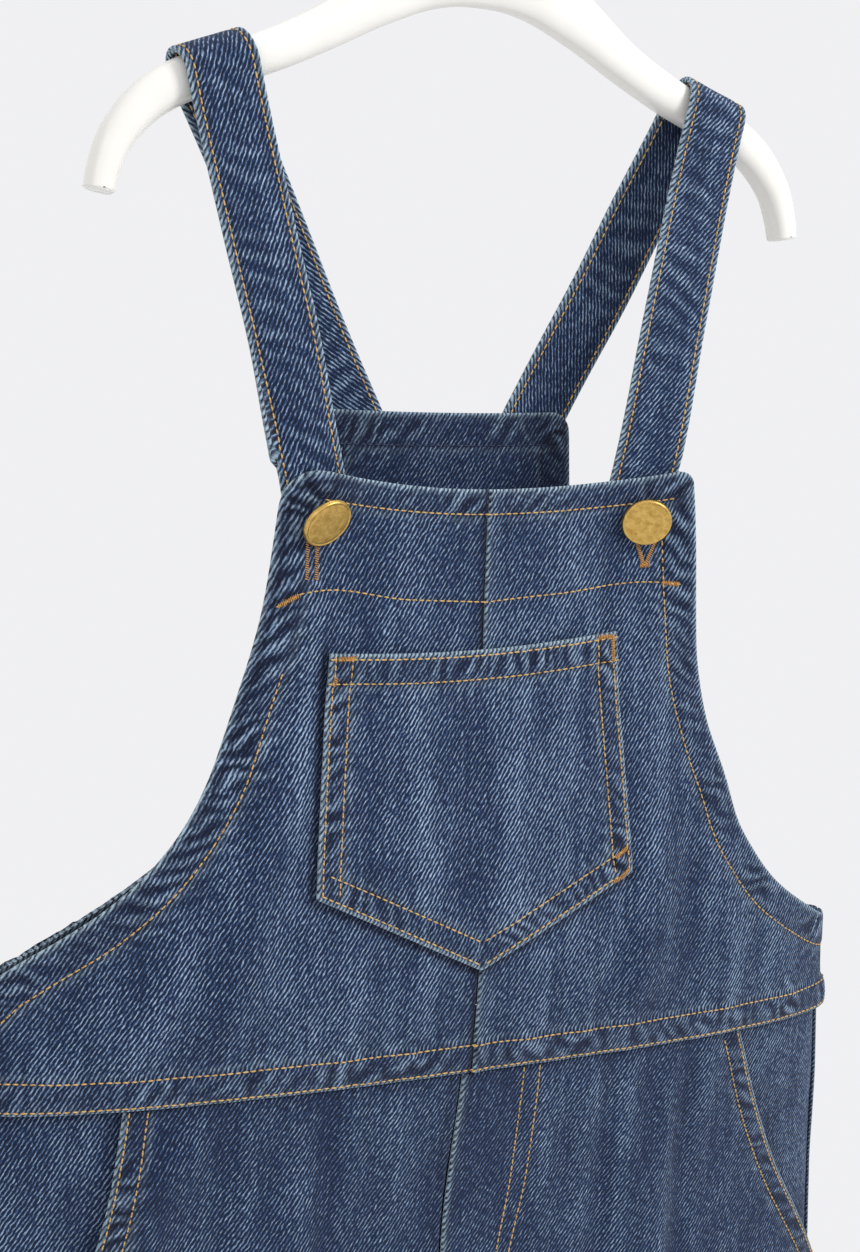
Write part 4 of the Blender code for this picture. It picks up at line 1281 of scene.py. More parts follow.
@dataclass
class FrontBib:
    """One half of the front bib: faced top and armhole, centre front seam, lapped waist seam."""

    side: Side
    finishes: Finishes
    stitches: StitchTree
    corners: dict = field(default_factory=lambda: {Side.LEFT: 0.005, Side.RIGHT: 0.014})
    top_row: float = 0.0086
    facing_row: dict = field(default_factory=lambda: {
        Side.LEFT: ((0.0, 0.0393), (0.030, 0.0372), (0.064, 0.0345), (0.0785, 0.0352)),
        Side.RIGHT: ((0.0, 0.0393), (0.030, 0.0376), (0.058, 0.0342), (0.068, 0.0348), (0.0770, 0.0385))})
    armhole_row: dict = field(default_factory=lambda: {Side.LEFT: 0.0128, Side.RIGHT: 0.0118})
    band_rows: tuple = (0.0014, 0.0112)
    width: float = 0.177
    length: float = 0.215
    form: BibForm = field(default_factory=BibForm)

    def make(self) -> Shell:
        """Builds the half, sews it and returns its shell."""
        grid = BibGrid(Facing.FRONT, 0.0, FRONT_ARMHOLE)
        middle, edge = grid.rows(self.corners[self.side])
        low = np.arcsin(SEAM_GAP / 2 / along(RINGS, middle, HALF))
        high = grid.edge_angle(self.side, edge, self.corners[self.side])
        u = spread(0, 1, 0.0128, (0.0030, 0.0085))
        theta = self.side * (low[:, None] + (high - low)[:, None] * u)
        drop = middle[:, None] + (edge - middle)[:, None] * u**2
        base = self.form.front(theta, drop)
        flat = arc_flat(base, drop)
        flat[..., 0] *= self.side
        toward = np.stack((self.side * np.abs(np.sin(theta)), -np.cos(theta), 0 * theta), axis=2)
        shell = Shell("bib_front_" + self.side.word, base, flat, toward)
        band(0.0013, shell, drop)
        self._work(shell, edge, drop)
        shell.build(self.finishes.denim)
        seams = self._sew(shell, edge)
        dress(shell, "front_bib_" + self.side.word, seams,
              self.stitches)
        return shell

    def _armhole(self, shell: Shell, edge: Array) -> Array:
        """The armhole's line on the pattern."""
        return shell.fringe(Fringe.END)[edge < UNDERARM - 1e-4]

    def _work(self, shell: Shell, edge: Array, drop: Array) -> None:
        """Works the hems and creases of the half.

        Args:
            shell: the half.
            edge: drops of the rows at the edge.
            drop: drops of all the points.
        """
        side = int(self.side)
        x = shell.flat[..., 0] * side
        shell.slub(0.016, 0.00016, 0.07, 2.0 + side)
        shell.hem(shell.fringe(Fringe.TOP), self.top_row, 0.00042, 0.0062, 0.9 * side, 0.9, 0.0005,
                  1.3 + side)
        shell.hem(self._armhole(shell, edge), self.armhole_row[self.side], 0.00048, 0.0074, 0.9, 0.85, 0.0005,
                  4.1 + side, 0.006)
        shell.hem(shell.fringe(Fringe.BOTTOM), self.band_rows[1], 0.00045, 0.0068, 0.5, 0.75, 0.0, 7.7 + side)
        groove = bell(np.abs(drop - WAIST) - self.band_rows[0], 0.0010)
        row = self.facing_row[self.side]
        groove = groove + bell(drop - along(row, x), 0.0011) * ease((row[-1][0] - x) / 0.002)
        # Stitch grooves: thinner cloth and a darker line, partly kept indigo and partly painted shade
        shell.thick -= 0.0003 * groove
        shell.indigo_and_shade += 0.2 * groove
        # Centre front seam: the left half is laid over, with painted shadow on the right half beside it and a
        # painted shade line at the foot of its raised lap
        if self.side is Side.LEFT:
            shell.thick += 0.0008 * ease(1 - x / 0.007)
            shell.wear += 0.55 * bell(x, 0.0008) + 0.12 * bell(x, 0.003)
            shell.indigo_and_shade += 0.30 * bell(x - 0.0085, 0.0012)
        else:
            shell.indigo_and_shade += 0.85 * bell(x, 0.0016) + 0.2 * bell(x, 0.006)
        free = ease((drop - 0.03) / 0.02)
        shell.fade += free * 0.08 * wander(x / 0.009, drop / 0.12, 11.0 + side)
        # Painted shadow on the bib along the pocket's left and lower edges
        low_left = np.array(((-0.0600, -0.0530), (-0.0650, -0.1405), (0.0, -0.1722)))
        low_right = np.array(((0.0, -0.1722), (0.0645, -0.1412)))
        beside, _ = nearest(shell.flat, low_left if self.side is Side.RIGHT else low_right)
        shell.indigo_and_shade += 0.85 * bell(beside, 0.0015)
        if self.side is Side.RIGHT:
            # Painted shade in a line just inside the rolled armhole edge
            from_edge, _ = nearest(shell.flat, self._armhole(shell, edge))
            shell.indigo_and_shade += 0.60 * bell(from_edge - 0.0032, 0.0008) * ease((0.135 - drop) / 0.03)
            shell.crease((-0.067, -0.050), (-0.070, -0.150), 0.006, 0.0009, 0.22)
            shell.crease((-0.078, -0.060), (-0.105, -0.195), 0.010, -0.0010, -0.14)
            shell.crease((-0.095, -0.125), (-0.128, -0.198), 0.009, 0.0012, 0.20, 0.004)
            shell.crease((-0.045, -0.172), (-0.052, -0.205), 0.006, 0.0007, 0.16)
            shell.crease((-0.020, -0.160), (-0.026, -0.206), 0.005, 0.0006, 0.14)
            shell.crease((-0.074, -0.020), (-0.062, -0.046), 0.005, 0.0008, 0.14)
            shell.crease((-0.030, -0.012), (-0.036, -0.052), 0.006, 0.0006, 0.12)
            shell.crease((-0.140, -0.160), (-0.165, -0.203), 0.008, -0.0009, -0.12)
        else:
            shell.crease((0.026, -0.166), (0.022, -0.206), 0.006, 0.0008, 0.20)
            shell.crease((0.048, -0.156), (0.044, -0.205), 0.006, 0.0007, 0.18)
            shell.crease((0.070, -0.045), (0.074, -0.140), 0.006, 0.0008, 0.18)
            shell.crease((0.088, -0.100), (0.098, -0.195), 0.008, -0.0009, -0.12)
            shell.crease((0.108, -0.130), (0.114, -0.200), 0.008, 0.0010, 0.20)
            shell.crease((0.140, -0.160), (0.150, -0.204), 0.008, 0.0008, 0.14)
            shell.crease((0.034, -0.012), (0.028, -0.052), 0.006, 0.0006, 0.12)
            shell.crease((0.052, -0.016), (0.050, -0.050), 0.005, -0.0005, -0.10)
        # Painted shadow on the bib just below the tack button
        shell.indigo_and_shade += 0.5 * bell(x - 0.0620, 0.008) * bell(drop - 0.0175, 0.007)

    def _sew(self, shell: Shell, edge: Array) -> list[Seams]:
        """Sews the half's rows, buttonhole and bartacks.

        Args:
            shell: the built half.
            edge: drops of the rows at the edge.

        Returns:
            The stitching by thread.
        """
        side = int(self.side)
        word = self.side.word
        gold = Seams("topstitching_bib_front_" + word, self.finishes.golden)
        tacks = Seams("bartacks_bib_front_" + word, self.finishes.orange, 0.0021, 0.00055)
        hole_x = side * (0.0640 if side > 0 else 0.0660)
        top = shifted(shell.fringe(Fringe.TOP), -side * self.top_row)
        reach = 0.0735 if side > 0 else 0.0640
        gold.row(shell, top[np.abs(top[:, 0]) < reach])
        arm = self._armhole(shell, edge)
        row = shifted(arm, -side * self.armhole_row[self.side])
        gold.row(shell, row[row[:, 1] < (-0.019 if side > 0 else -0.062)])
        level = self.facing_row[self.side]
        reach = np.linspace(0.0002, level[-1][0], 60)
        gold.row(shell, np.stack((side * reach, -along(level, reach)), axis=1))
        for rise in self.band_rows:
            line = shell.fringe(Fringe.BOTTOM) + np.array((0.0, rise))
            gold.row(shell, line)
        ends = [side * level[-1][0], -level[-1][1]]
        near = (ends[0] - side * 0.0060, -float(along(level, level[-1][0] - 0.0060)))
        tacks.bar(shell, near, (ends[0], ends[1]), 0.0014)
        if side > 0:
            tacks.bar(shell, (hole_x - 0.0026, -0.0215), (hole_x + 0.0005, -0.0290), 0.0016)
            tacks.bar(shell, (hole_x + 0.0046, -0.0215), (hole_x + 0.0015, -0.0290), 0.0016)
            tacks.bar(shell, (hole_x - 0.0006, -0.0292), (hole_x + 0.0028, -0.0292), 0.0018)
        else:
            tacks.bar(shell, (hole_x - 0.0021, -0.0205), (hole_x - 0.0021, -0.0310), 0.0016)
            tacks.bar(shell, (hole_x + 0.0017, -0.0205), (hole_x + 0.0017, -0.0310), 0.0016)
        return [gold, tacks]


@dataclass
class BackBib:
    """The back bib, with its self facing: dark rows show on the inside and golden ones outside."""

    finishes: Finishes
    stitches: StitchTree
    corner: float = 0.007
    row: float = 0.0118
    form: BibForm = field(default_factory=BibForm)

    def make(self) -> Shell:
        """Builds the back bib, sews it and returns its shell."""
        grid = BibGrid(Facing.BACK, BACK_TOP, BACK_ARMHOLE)
        middle, edge = grid.rows(self.corner)
        high = grid.edge_angle(1, edge, self.corner)
        u = spread(-1, 1, 0.0150, (0.0030, 0.0090))
        theta = high[:, None] * u
        drop = middle[:, None] + (edge - middle)[:, None] * u**2
        base = self.form.back(theta, drop)
        steps = arc_flat(base, drop)
        flat = steps.copy()
        flat[..., 0] -= steps[:, -1:, 0] / 2
        toward = np.stack((np.sin(theta), np.cos(theta), 0 * theta), axis=2)
        shell = Shell("bib_back", base, flat, toward)
        band(0.0013, shell, drop)
        shell.slub(0.018, 0.00018, 0.07, 5.0)
        free = edge < UNDERARM - 1e-4
        shell.hem(shell.fringe(Fringe.TOP), self.row, 0.00040, 0.0068, 0.8, 0.7, 0.0005, 2.0)
        for k, fringe in enumerate((Fringe.START, Fringe.END)):
            shell.hem(shell.fringe(fringe)[free], self.row, 0.00045, 0.0076, 0.8, 0.8, 0.0005, 3.0 + k, 0.006)
        shell.hem(shell.fringe(Fringe.BOTTOM), 0.0112, 0.00045, 0.0070, 0.5, 0.7, 0.0, 8.0)
        for x, lean in ((-0.085, -0.02), (-0.04, -0.01), (0.03, 0.006), (0.07, 0.015), (0.11, 0.02)):
            shell.crease((x, -0.09), (x + lean, -0.195), 0.009, 0.0009 * (1 if x > 0 else -0.8), 0.13)
        shell.build(self.finishes.inside)
        inside = Seams("facing_stitching_bib_back", self.finishes.navy)
        gold = Seams("topstitching_bib_back", self.finishes.golden)
        top = shifted(shell.fringe(Fringe.TOP), -self.row)
        top = top[np.abs(top[:, 0]) < 0.0515 - self.row + 0.002]
        for part, inner in ((inside, True), (gold, False)):
            part.row(shell, top, inside=inner)
            for fringe, turn in ((Fringe.START, 1), (Fringe.END, -1)):
                line = shifted(shell.fringe(fringe)[free], turn * self.row)
                part.row(shell, line[line[:, 1] < top[:, 1].mean()], inside=inner)
        for rise in (0.0014, 0.0112):
            gold.row(shell, shell.fringe(Fringe.BOTTOM) + np.array((0.0, rise)))
        dress(shell, "back_bib", [inside, gold], self.stitches)
        return shell


@dataclass
class BibPocket:
    """The patch pocket with a pointed bottom and a sagging hemmed mouth."""

    finishes: Finishes
    stitches: StitchTree
    top: float = 0.0545
    tilt: float = 0.0035
    shift: float = 0.0028
    sag: float = 0.003
    corner: float = 0.140
    tip: float = 0.171
    top_half: float = 0.0565
    low_half: float = 0.0635
    hem: float = 0.0105
    rows: tuple = (0.0019, 0.0083)
    gap: float = 0.0010
    form: BibForm = field(default_factory=BibForm)

    def _place(self, u: Array, v: Array) -> tuple[Array, Array]:
        """Ring angle and drop at u from -1 to 1 across the pocket and v from 0 to 1 down it."""
        top = self.top + self.sag * (1 - u * u) - self.tilt * (1 + u) / 2
        low = self.corner + (self.tip - self.corner) * (1 - np.abs(u))
        drop = top + (low - top) * v
        down = np.minimum(1.0, (drop - self.top) / (self.corner - self.top))
        half = self.top_half + (self.low_half - self.top_half) * down
        return np.arcsin((u * half - self.shift * (1 - down)) / along(RINGS, drop, HALF)), drop

    def make(self) -> Shell:
        """Builds the pocket, sews it and returns its shell."""
        u = spread(-1, 1, 0.0190, (0.0050, 0.0140))
        v = spread(0, 1, 0.0115, (0.0028, 0.0080))
        u, v = np.meshgrid(u, v)
        theta, drop = self._place(u, v)
        face = self.form.front(theta, drop)
        across, down = np.gradient(face, axis=1), np.gradient(face, axis=0)
        normals = unit(np.cross(across, down))
        normals = np.where(normals[..., 1:2] < 0, normals, -normals)
        base = face + normals * (CLOTH + self.gap)
        flat = np.stack((base[..., 0], -drop), axis=2)
        toward = np.broadcast_to(np.array((0.0, -1.0, 0.0)), base.shape)
        shell = Shell("pocket_bib", base, flat, toward)
        top, bottom = shell.fringe(Fringe.TOP), shell.fringe(Fringe.BOTTOM)
        start, end = shell.fringe(Fringe.START), shell.fringe(Fringe.END)
        shell.slub(0.013, 0.00010, 0.06, 9.0)
        shell.hem(top, self.hem, 0.00045, 0.0056, 0.25, 1.0, 0.0009, 1.0, 0.004)
        shell.hem(bottom, self.rows[1] + 0.0010, 0.00045, 0.0056, 0.5, 0.95, 0.0005, 2.0, 0.004)
        shell.hem(start, self.rows[1], 0.00030, 0.0078, 0.7, 1.0, 0.0005, 3.0, 0.010)
        shell.hem(end, self.rows[1], 0.00030, 0.0078, 0.7, 1.0, 0.0005, 4.0, 0.010)
        for line in (top, bottom, start, end):
            distance, _ = nearest(shell.flat, line)
            shell.thick -= 0.00022 * bell(distance - self.rows[0], 0.0008)
        # Pale streaks pressed in by the folds beneath
        shell.crease((-0.028, -0.066), (-0.022, -0.150), 0.0060, 0.0006, 0.26)
        shell.crease((-0.004, -0.070), (-0.006, -0.155), 0.0065, -0.0005, -0.15)
        shell.crease((0.014, -0.066), (0.012, -0.158), 0.0062, 0.0007, 0.30)
        shell.crease((0.031, -0.064), (0.030, -0.140), 0.0055, 0.0004, 0.16)
        shell.crease((-0.042, -0.068), (-0.046, -0.140), 0.0050, -0.0004, -0.12)
        shell.build(self.finishes.faded)
        gold = Seams("topstitching_pocket_bib", self.finishes.golden)
        tacks = Seams("bartacks_pocket_bib", self.finishes.orange, 0.0021, 0.00055)
        for depth in (self.rows[0], self.hem):
            gold.row(shell, shifted(top, -depth)[1:-1])
        for depth in self.rows:
            gold.row(shell, shifted(start, depth)[2:-2])
            gold.row(shell, shifted(end, -depth)[2:-2])
        for depth in (self.rows[0], self.rows[1] + 0.0010):
            for sign in (-1, 1):
                half = shifted(bottom[bottom[:, 0] * sign > -1e-4], depth)
                gold.row(shell, half[half[:, 0] * sign > 0][2:-2])
        first, last = top[0], top[-1]
        tacks.bar(shell, (first[0] + 0.0030, first[1] - 0.0019), (first[0] + 0.0090, first[1] - 0.0021),
                  0.0014)
        tacks.bar(shell, (first[0] + 0.0018, first[1] - 0.0085), (first[0] + 0.0016, first[1] - 0.0112),
                  0.0014)
        tacks.bar(shell, (last[0] - 0.0078, last[1] - 0.0018), (last[0] - 0.0020, last[1] - 0.0016), 0.0012)
        tacks.bar(shell, (last[0] - 0.0018, last[1] - 0.0020), (last[0] - 0.0016, last[1] - 0.0100), 0.0012)
        low = bottom[-1]
        tacks.bar(shell, (low[0] - 0.0085, low[1] - 0.0030), (low[0] - 0.0024, low[1] + 0.0006), 0.0014)
        tacks.bar(shell, (low[0] - 0.0080, low[1] + 0.0060), (low[0] - 0.0030, low[1] + 0.0088), 0.0012)
        dress(shell, "bib_pocket", [gold, tacks],
              self.stitches)
        return shell


@dataclass
class Leg:
    """One leg piece, front or back, with its edges, creases, hem and seams."""

    side: Side
    facing: Facing
    finishes: Finishes
    stitches: StitchTree
    hem_row: float = 0.0188
    mouth_rows: tuple = (0.0020, 0.0084)
    fly_rows: tuple = ((0.0225, 0.0215, 0.0160, 0.0030), (0.0292, 0.0282, 0.0215, 0.0030))
    mouth_end: float = 0.330

    def make(self) -> Shell:
        """Builds the leg piece, sews it and returns its shell."""
        form = LegForm(self.side, self.facing)
        rows = np.concatenate((
            spread(WAIST + SEAM_GAP, CROTCH - CROTCH_CURVE, FINE * 1.2, (0.0004,)),
            spread(CROTCH - CROTCH_CURVE, CROTCH, FINE * 1.3)[1:],
            spread(CROTCH, HEM, COARSE, (0.0004, 0.0012))[1:],
        ))
        seam = seam_angle(self.facing, rows)
        low = np.maximum(np.arcsin(np.clip(form.inner_sine(rows), -1, 1)), seam - math.pi / 2)
        high = math.pi / 2 - seam
        if self.facing > 0:
            mouth = np.arcsin(np.clip(by_side(POCKET_MOUTH, np.array(int(self.side)), rows)
                                      / along(RINGS, rows, HALF), 0, 1))
            high = np.where(rows < self.mouth_end, np.minimum(high, mouth), high)
        u = spread(0, 1, 0.0125, (0.0028, 0.0080))
        theta = low[:, None] + (high - low)[:, None] * u
        drop = np.broadcast_to(rows[:, None], theta.shape)
        base = form.surface(theta, drop)
        flat = arc_flat(base, drop, form.inner_x(rows))
        flat[..., 0] *= self.side
        out = np.maximum(0.01, np.cos(theta))
        toward = np.stack((self.side * np.sin(theta), -self.facing * out, 0 * theta), axis=2)
        name = f"leg_{self.facing.word}_{self.side.word}"
        shell = Shell(name, base, flat, toward)
        if (self.side, self.facing) == (Side.LEFT, Facing.FRONT):
            across = (base[..., 0] - along(FLY_EDGE, drop)) / 0.038
            shell.thick += 0.0012 * ease(1 - across) * ease((self.mouth_end - drop) / 0.004)
        self._work(shell, drop, rows)
        shell.build(self.finishes.trousers)
        seams = self._sew(shell, rows)
        dress(shell, f"{self.facing.word}_leg_{self.side.word}",
              seams, self.stitches)
        return shell

    def _work(self, shell: Shell, drop: Array, rows: Array) -> None:
        """Works the hem, the edges and the creases.

        Args:
            shell: the leg piece.
            drop: drops of all the points.
            rows: drops of the rows.
        """
        side, seed = int(self.side), 3.0 * self.side + self.facing
        x = shell.flat[..., 0] * side
        shell.slub(0.022, 0.00030, 0.07, seed)
        shell.hem(shell.fringe(Fringe.BOTTOM), self.hem_row, 0.00055, 0.0085, 0.8, 0.9, 0.0010, seed + 1)
        start, end = shell.fringe(Fringe.START), shell.fringe(Fringe.END)
        if self.facing > 0:
            mouth = end[rows < self.mouth_end]
            shell.hem(mouth, self.mouth_rows[1], 0.00034, 0.0080, 0.7, 0.95, 0.0007, seed + 2, 0.006)
            shell.hem(end[rows >= self.mouth_end], 0.0020, 0.0, wear=0.35, extra=0.0)
            opening = start[rows < CROTCH - 0.05]
            lapped = side > 0
            shell.hem(opening, 0.0030, 0.0, wear=0.8 if lapped else 0.1, extra=0.0002 if lapped else 0.0)
            if not lapped:
                # Painted shade on the under side of the fly, beside the lapping edge
                shell.indigo_and_shade += 0.8 * bell(x, 0.004) * ease((CROTCH - drop) / 0.03)
            shell.hem(start[rows > CROTCH], 0.0020, 0.0, wear=0.3, extra=0.0)
            # Painted shade just below the lapped waist seam
            shell.indigo_and_shade += 0.35 * bell(drop - WAIST, 0.0035)
            for top, lean, reach, rise, tone in (
                (0.030, 0.002, 0.13, 0.0008, 0.20), (0.048, 0.004, 0.15, 0.0009, 0.18),
                (0.066, 0.002, 0.12, 0.0008, 0.22), (0.086, 0.006, 0.16, 0.0010, 0.18),
                (0.104, 0.004, 0.10, 0.0007, 0.14), (0.058, -0.002, 0.10, -0.0007, -0.13),
                (0.094, 0.004, 0.12, -0.0007, -0.12),
            ):
                shift = 0.004 if side > 0 else -0.003
                shell.crease((side * (top + shift), -0.214), (side * (top + shift + lean), -0.214 - reach),
                             0.0062, rise, tone)
        else:
            shell.hem(end, 0.0020, 0.0, wear=0.35, extra=0.0)
            shell.hem(start, 0.0084 if side > 0 else 0.0020, 0.00025 if side > 0 else 0.0, 0.0080, 0.6, 0.35,
                      0.0006 if side > 0 else 0.0, seed + 4)
            # Painted shade just below the lapped waist seam
            shell.indigo_and_shade += 0.35 * bell(drop - WAIST, 0.0035)
            for top, lean, reach, rise in ((0.035, 0.004, 0.12, 0.0009), (0.075, 0.006, 0.16, -0.0008),
                                           (0.120, 0.004, 0.14, 0.0009), (0.150, 0.002, 0.10, -0.0007)):
                shell.crease((side * top, -0.215), (side * (top + lean), -0.215 - reach), 0.008, rise, 0.14)
        # Knee and shin: slack cross folds and long pressed lines
        for k, (a, b, level, fall, rise) in enumerate((
            (0.025, 0.150, 0.440, 0.030, 0.0016), (0.040, 0.165, 0.500, -0.024, 0.0013),
            (0.030, 0.120, 0.560, 0.028, 0.0015), (0.060, 0.170, 0.640, -0.030, 0.0014),
            (0.035, 0.140, 0.720, 0.022, 0.0012), (0.050, 0.160, 0.790, -0.018, 0.0011),
        )):
            lean = fall * (1 if (k + (side > 0)) % 2 else -0.7)
            shell.crease((side * a, -level), (side * b, -level - lean), 0.012, rise * self.facing, 0.07,
                         0.006)
        centre = 0.098 + 0.004 * side
        shell.crease((side * centre, -0.430), (side * (centre + 0.004), -0.845), 0.010, 0.0012, 0.16)
        shell.fade += 0.10 * bell(x - centre, 0.045) * bell(drop - 0.56, 0.16)

    def _sew(self, shell: Shell, rows: Array) -> list[Seams]:
        """Sews the piece's rows.

        Args:
            shell: the built piece.
            rows: drops of the rows.

        Returns:
            The stitching by thread.
        """
        side = int(self.side)
        word = f"{self.facing.word}_{self.side.word}"
        gold = Seams("topstitching_leg_" + word, self.finishes.golden)
        tacks = Seams("bartacks_leg_" + word, self.finishes.orange, 0.0021, 0.00055)
        gold.row(shell, shell.fringe(Fringe.BOTTOM) + np.array((0.0, self.hem_row)))
        start, end = shell.fringe(Fringe.START), shell.fringe(Fringe.END)
        if self.facing > 0:
            mouth = end[rows < self.mouth_end]
            for depth in self.mouth_rows:
                gold.row(shell, shifted(mouth, -side * depth)[1:-1])
            tacks.bar(shell, (mouth[-1][0] - side * 0.009, mouth[-1][1]),
                      (mouth[-1][0] - side * 0.001, mouth[-1][1]))
            if side > 0:
                for reach in self.fly_rows:
                    drops = (WAIST + 0.002, 0.262, 0.300, self.mouth_end)
                    bend = np.linspace(drops[0], drops[-1], 60)
                    x = np.interp(bend, drops, reach)
                    gold.row(shell,
                             np.stack((np.convolve(np.pad(x, 4, "edge"), np.ones(9) / 9, "valid"), -bend),
                                      axis=1))
                tacks.bar(shell, (0.0022, -0.3300), (0.0022, -0.3380))
        elif side > 0:
            for depth in (0.0016, 0.0080):
                gold.row(shell, shifted(start[rows < CROTCH - 0.03], side * depth)[1:-1])
        return [gold, tacks]


@dataclass
class PocketFacing:
    """The cloth behind the mouth of a slant pocket."""

    side: Side
    finishes: Finishes
    stitches: StitchTree
    under: float = 0.014
    gap: float = 0.0018

    def make(self) -> Shell:
        """Builds the facing and returns its shell."""
        form = LegForm(self.side, Facing.FRONT)
        rows = spread(WAIST + SEAM_GAP, CROTCH - CROTCH_CURVE, FINE * 1.4, (0.0004,))
        mouth = by_side(POCKET_MOUTH, np.array(int(self.side)), rows) - self.under
        low = np.arcsin(mouth / along(RINGS, rows, HALF))
        high = math.pi / 2 - seam_angle(Facing.FRONT, rows)
        theta = low[:, None] + (high - low)[:, None] * spread(0, 1, 0.03, (0.006,))
        drop = np.broadcast_to(rows[:, None], theta.shape)
        face = form.surface(theta, drop)
        toward = np.stack((self.side * np.sin(theta), -np.cos(theta), 0 * theta), axis=2)
        flat = arc_flat(face, drop, mouth)
        flat[..., 0] *= self.side
        shell = Shell("facing_pocket_" + self.side.word, face, flat, toward)
        shell.base = shell.base - shell.normals * (self.gap + CLOTH)
        shell.slub(0.014, 0.00015, 0.08, 6.0 + self.side)
        distance, _ = nearest(shell.flat, shell.fringe(Fringe.START))
        # Painted shade on the facing inside the pocket mouth and under the waist seam
        shell.indigo_and_shade += 0.55 * bell(distance, 0.018) + 0.3 * bell(drop - WAIST, 0.004)
        shell.build(self.finishes.denim)
        dress(shell, "pocket_facing_" + self.side.word, [],
              self.stitches)
        return shell


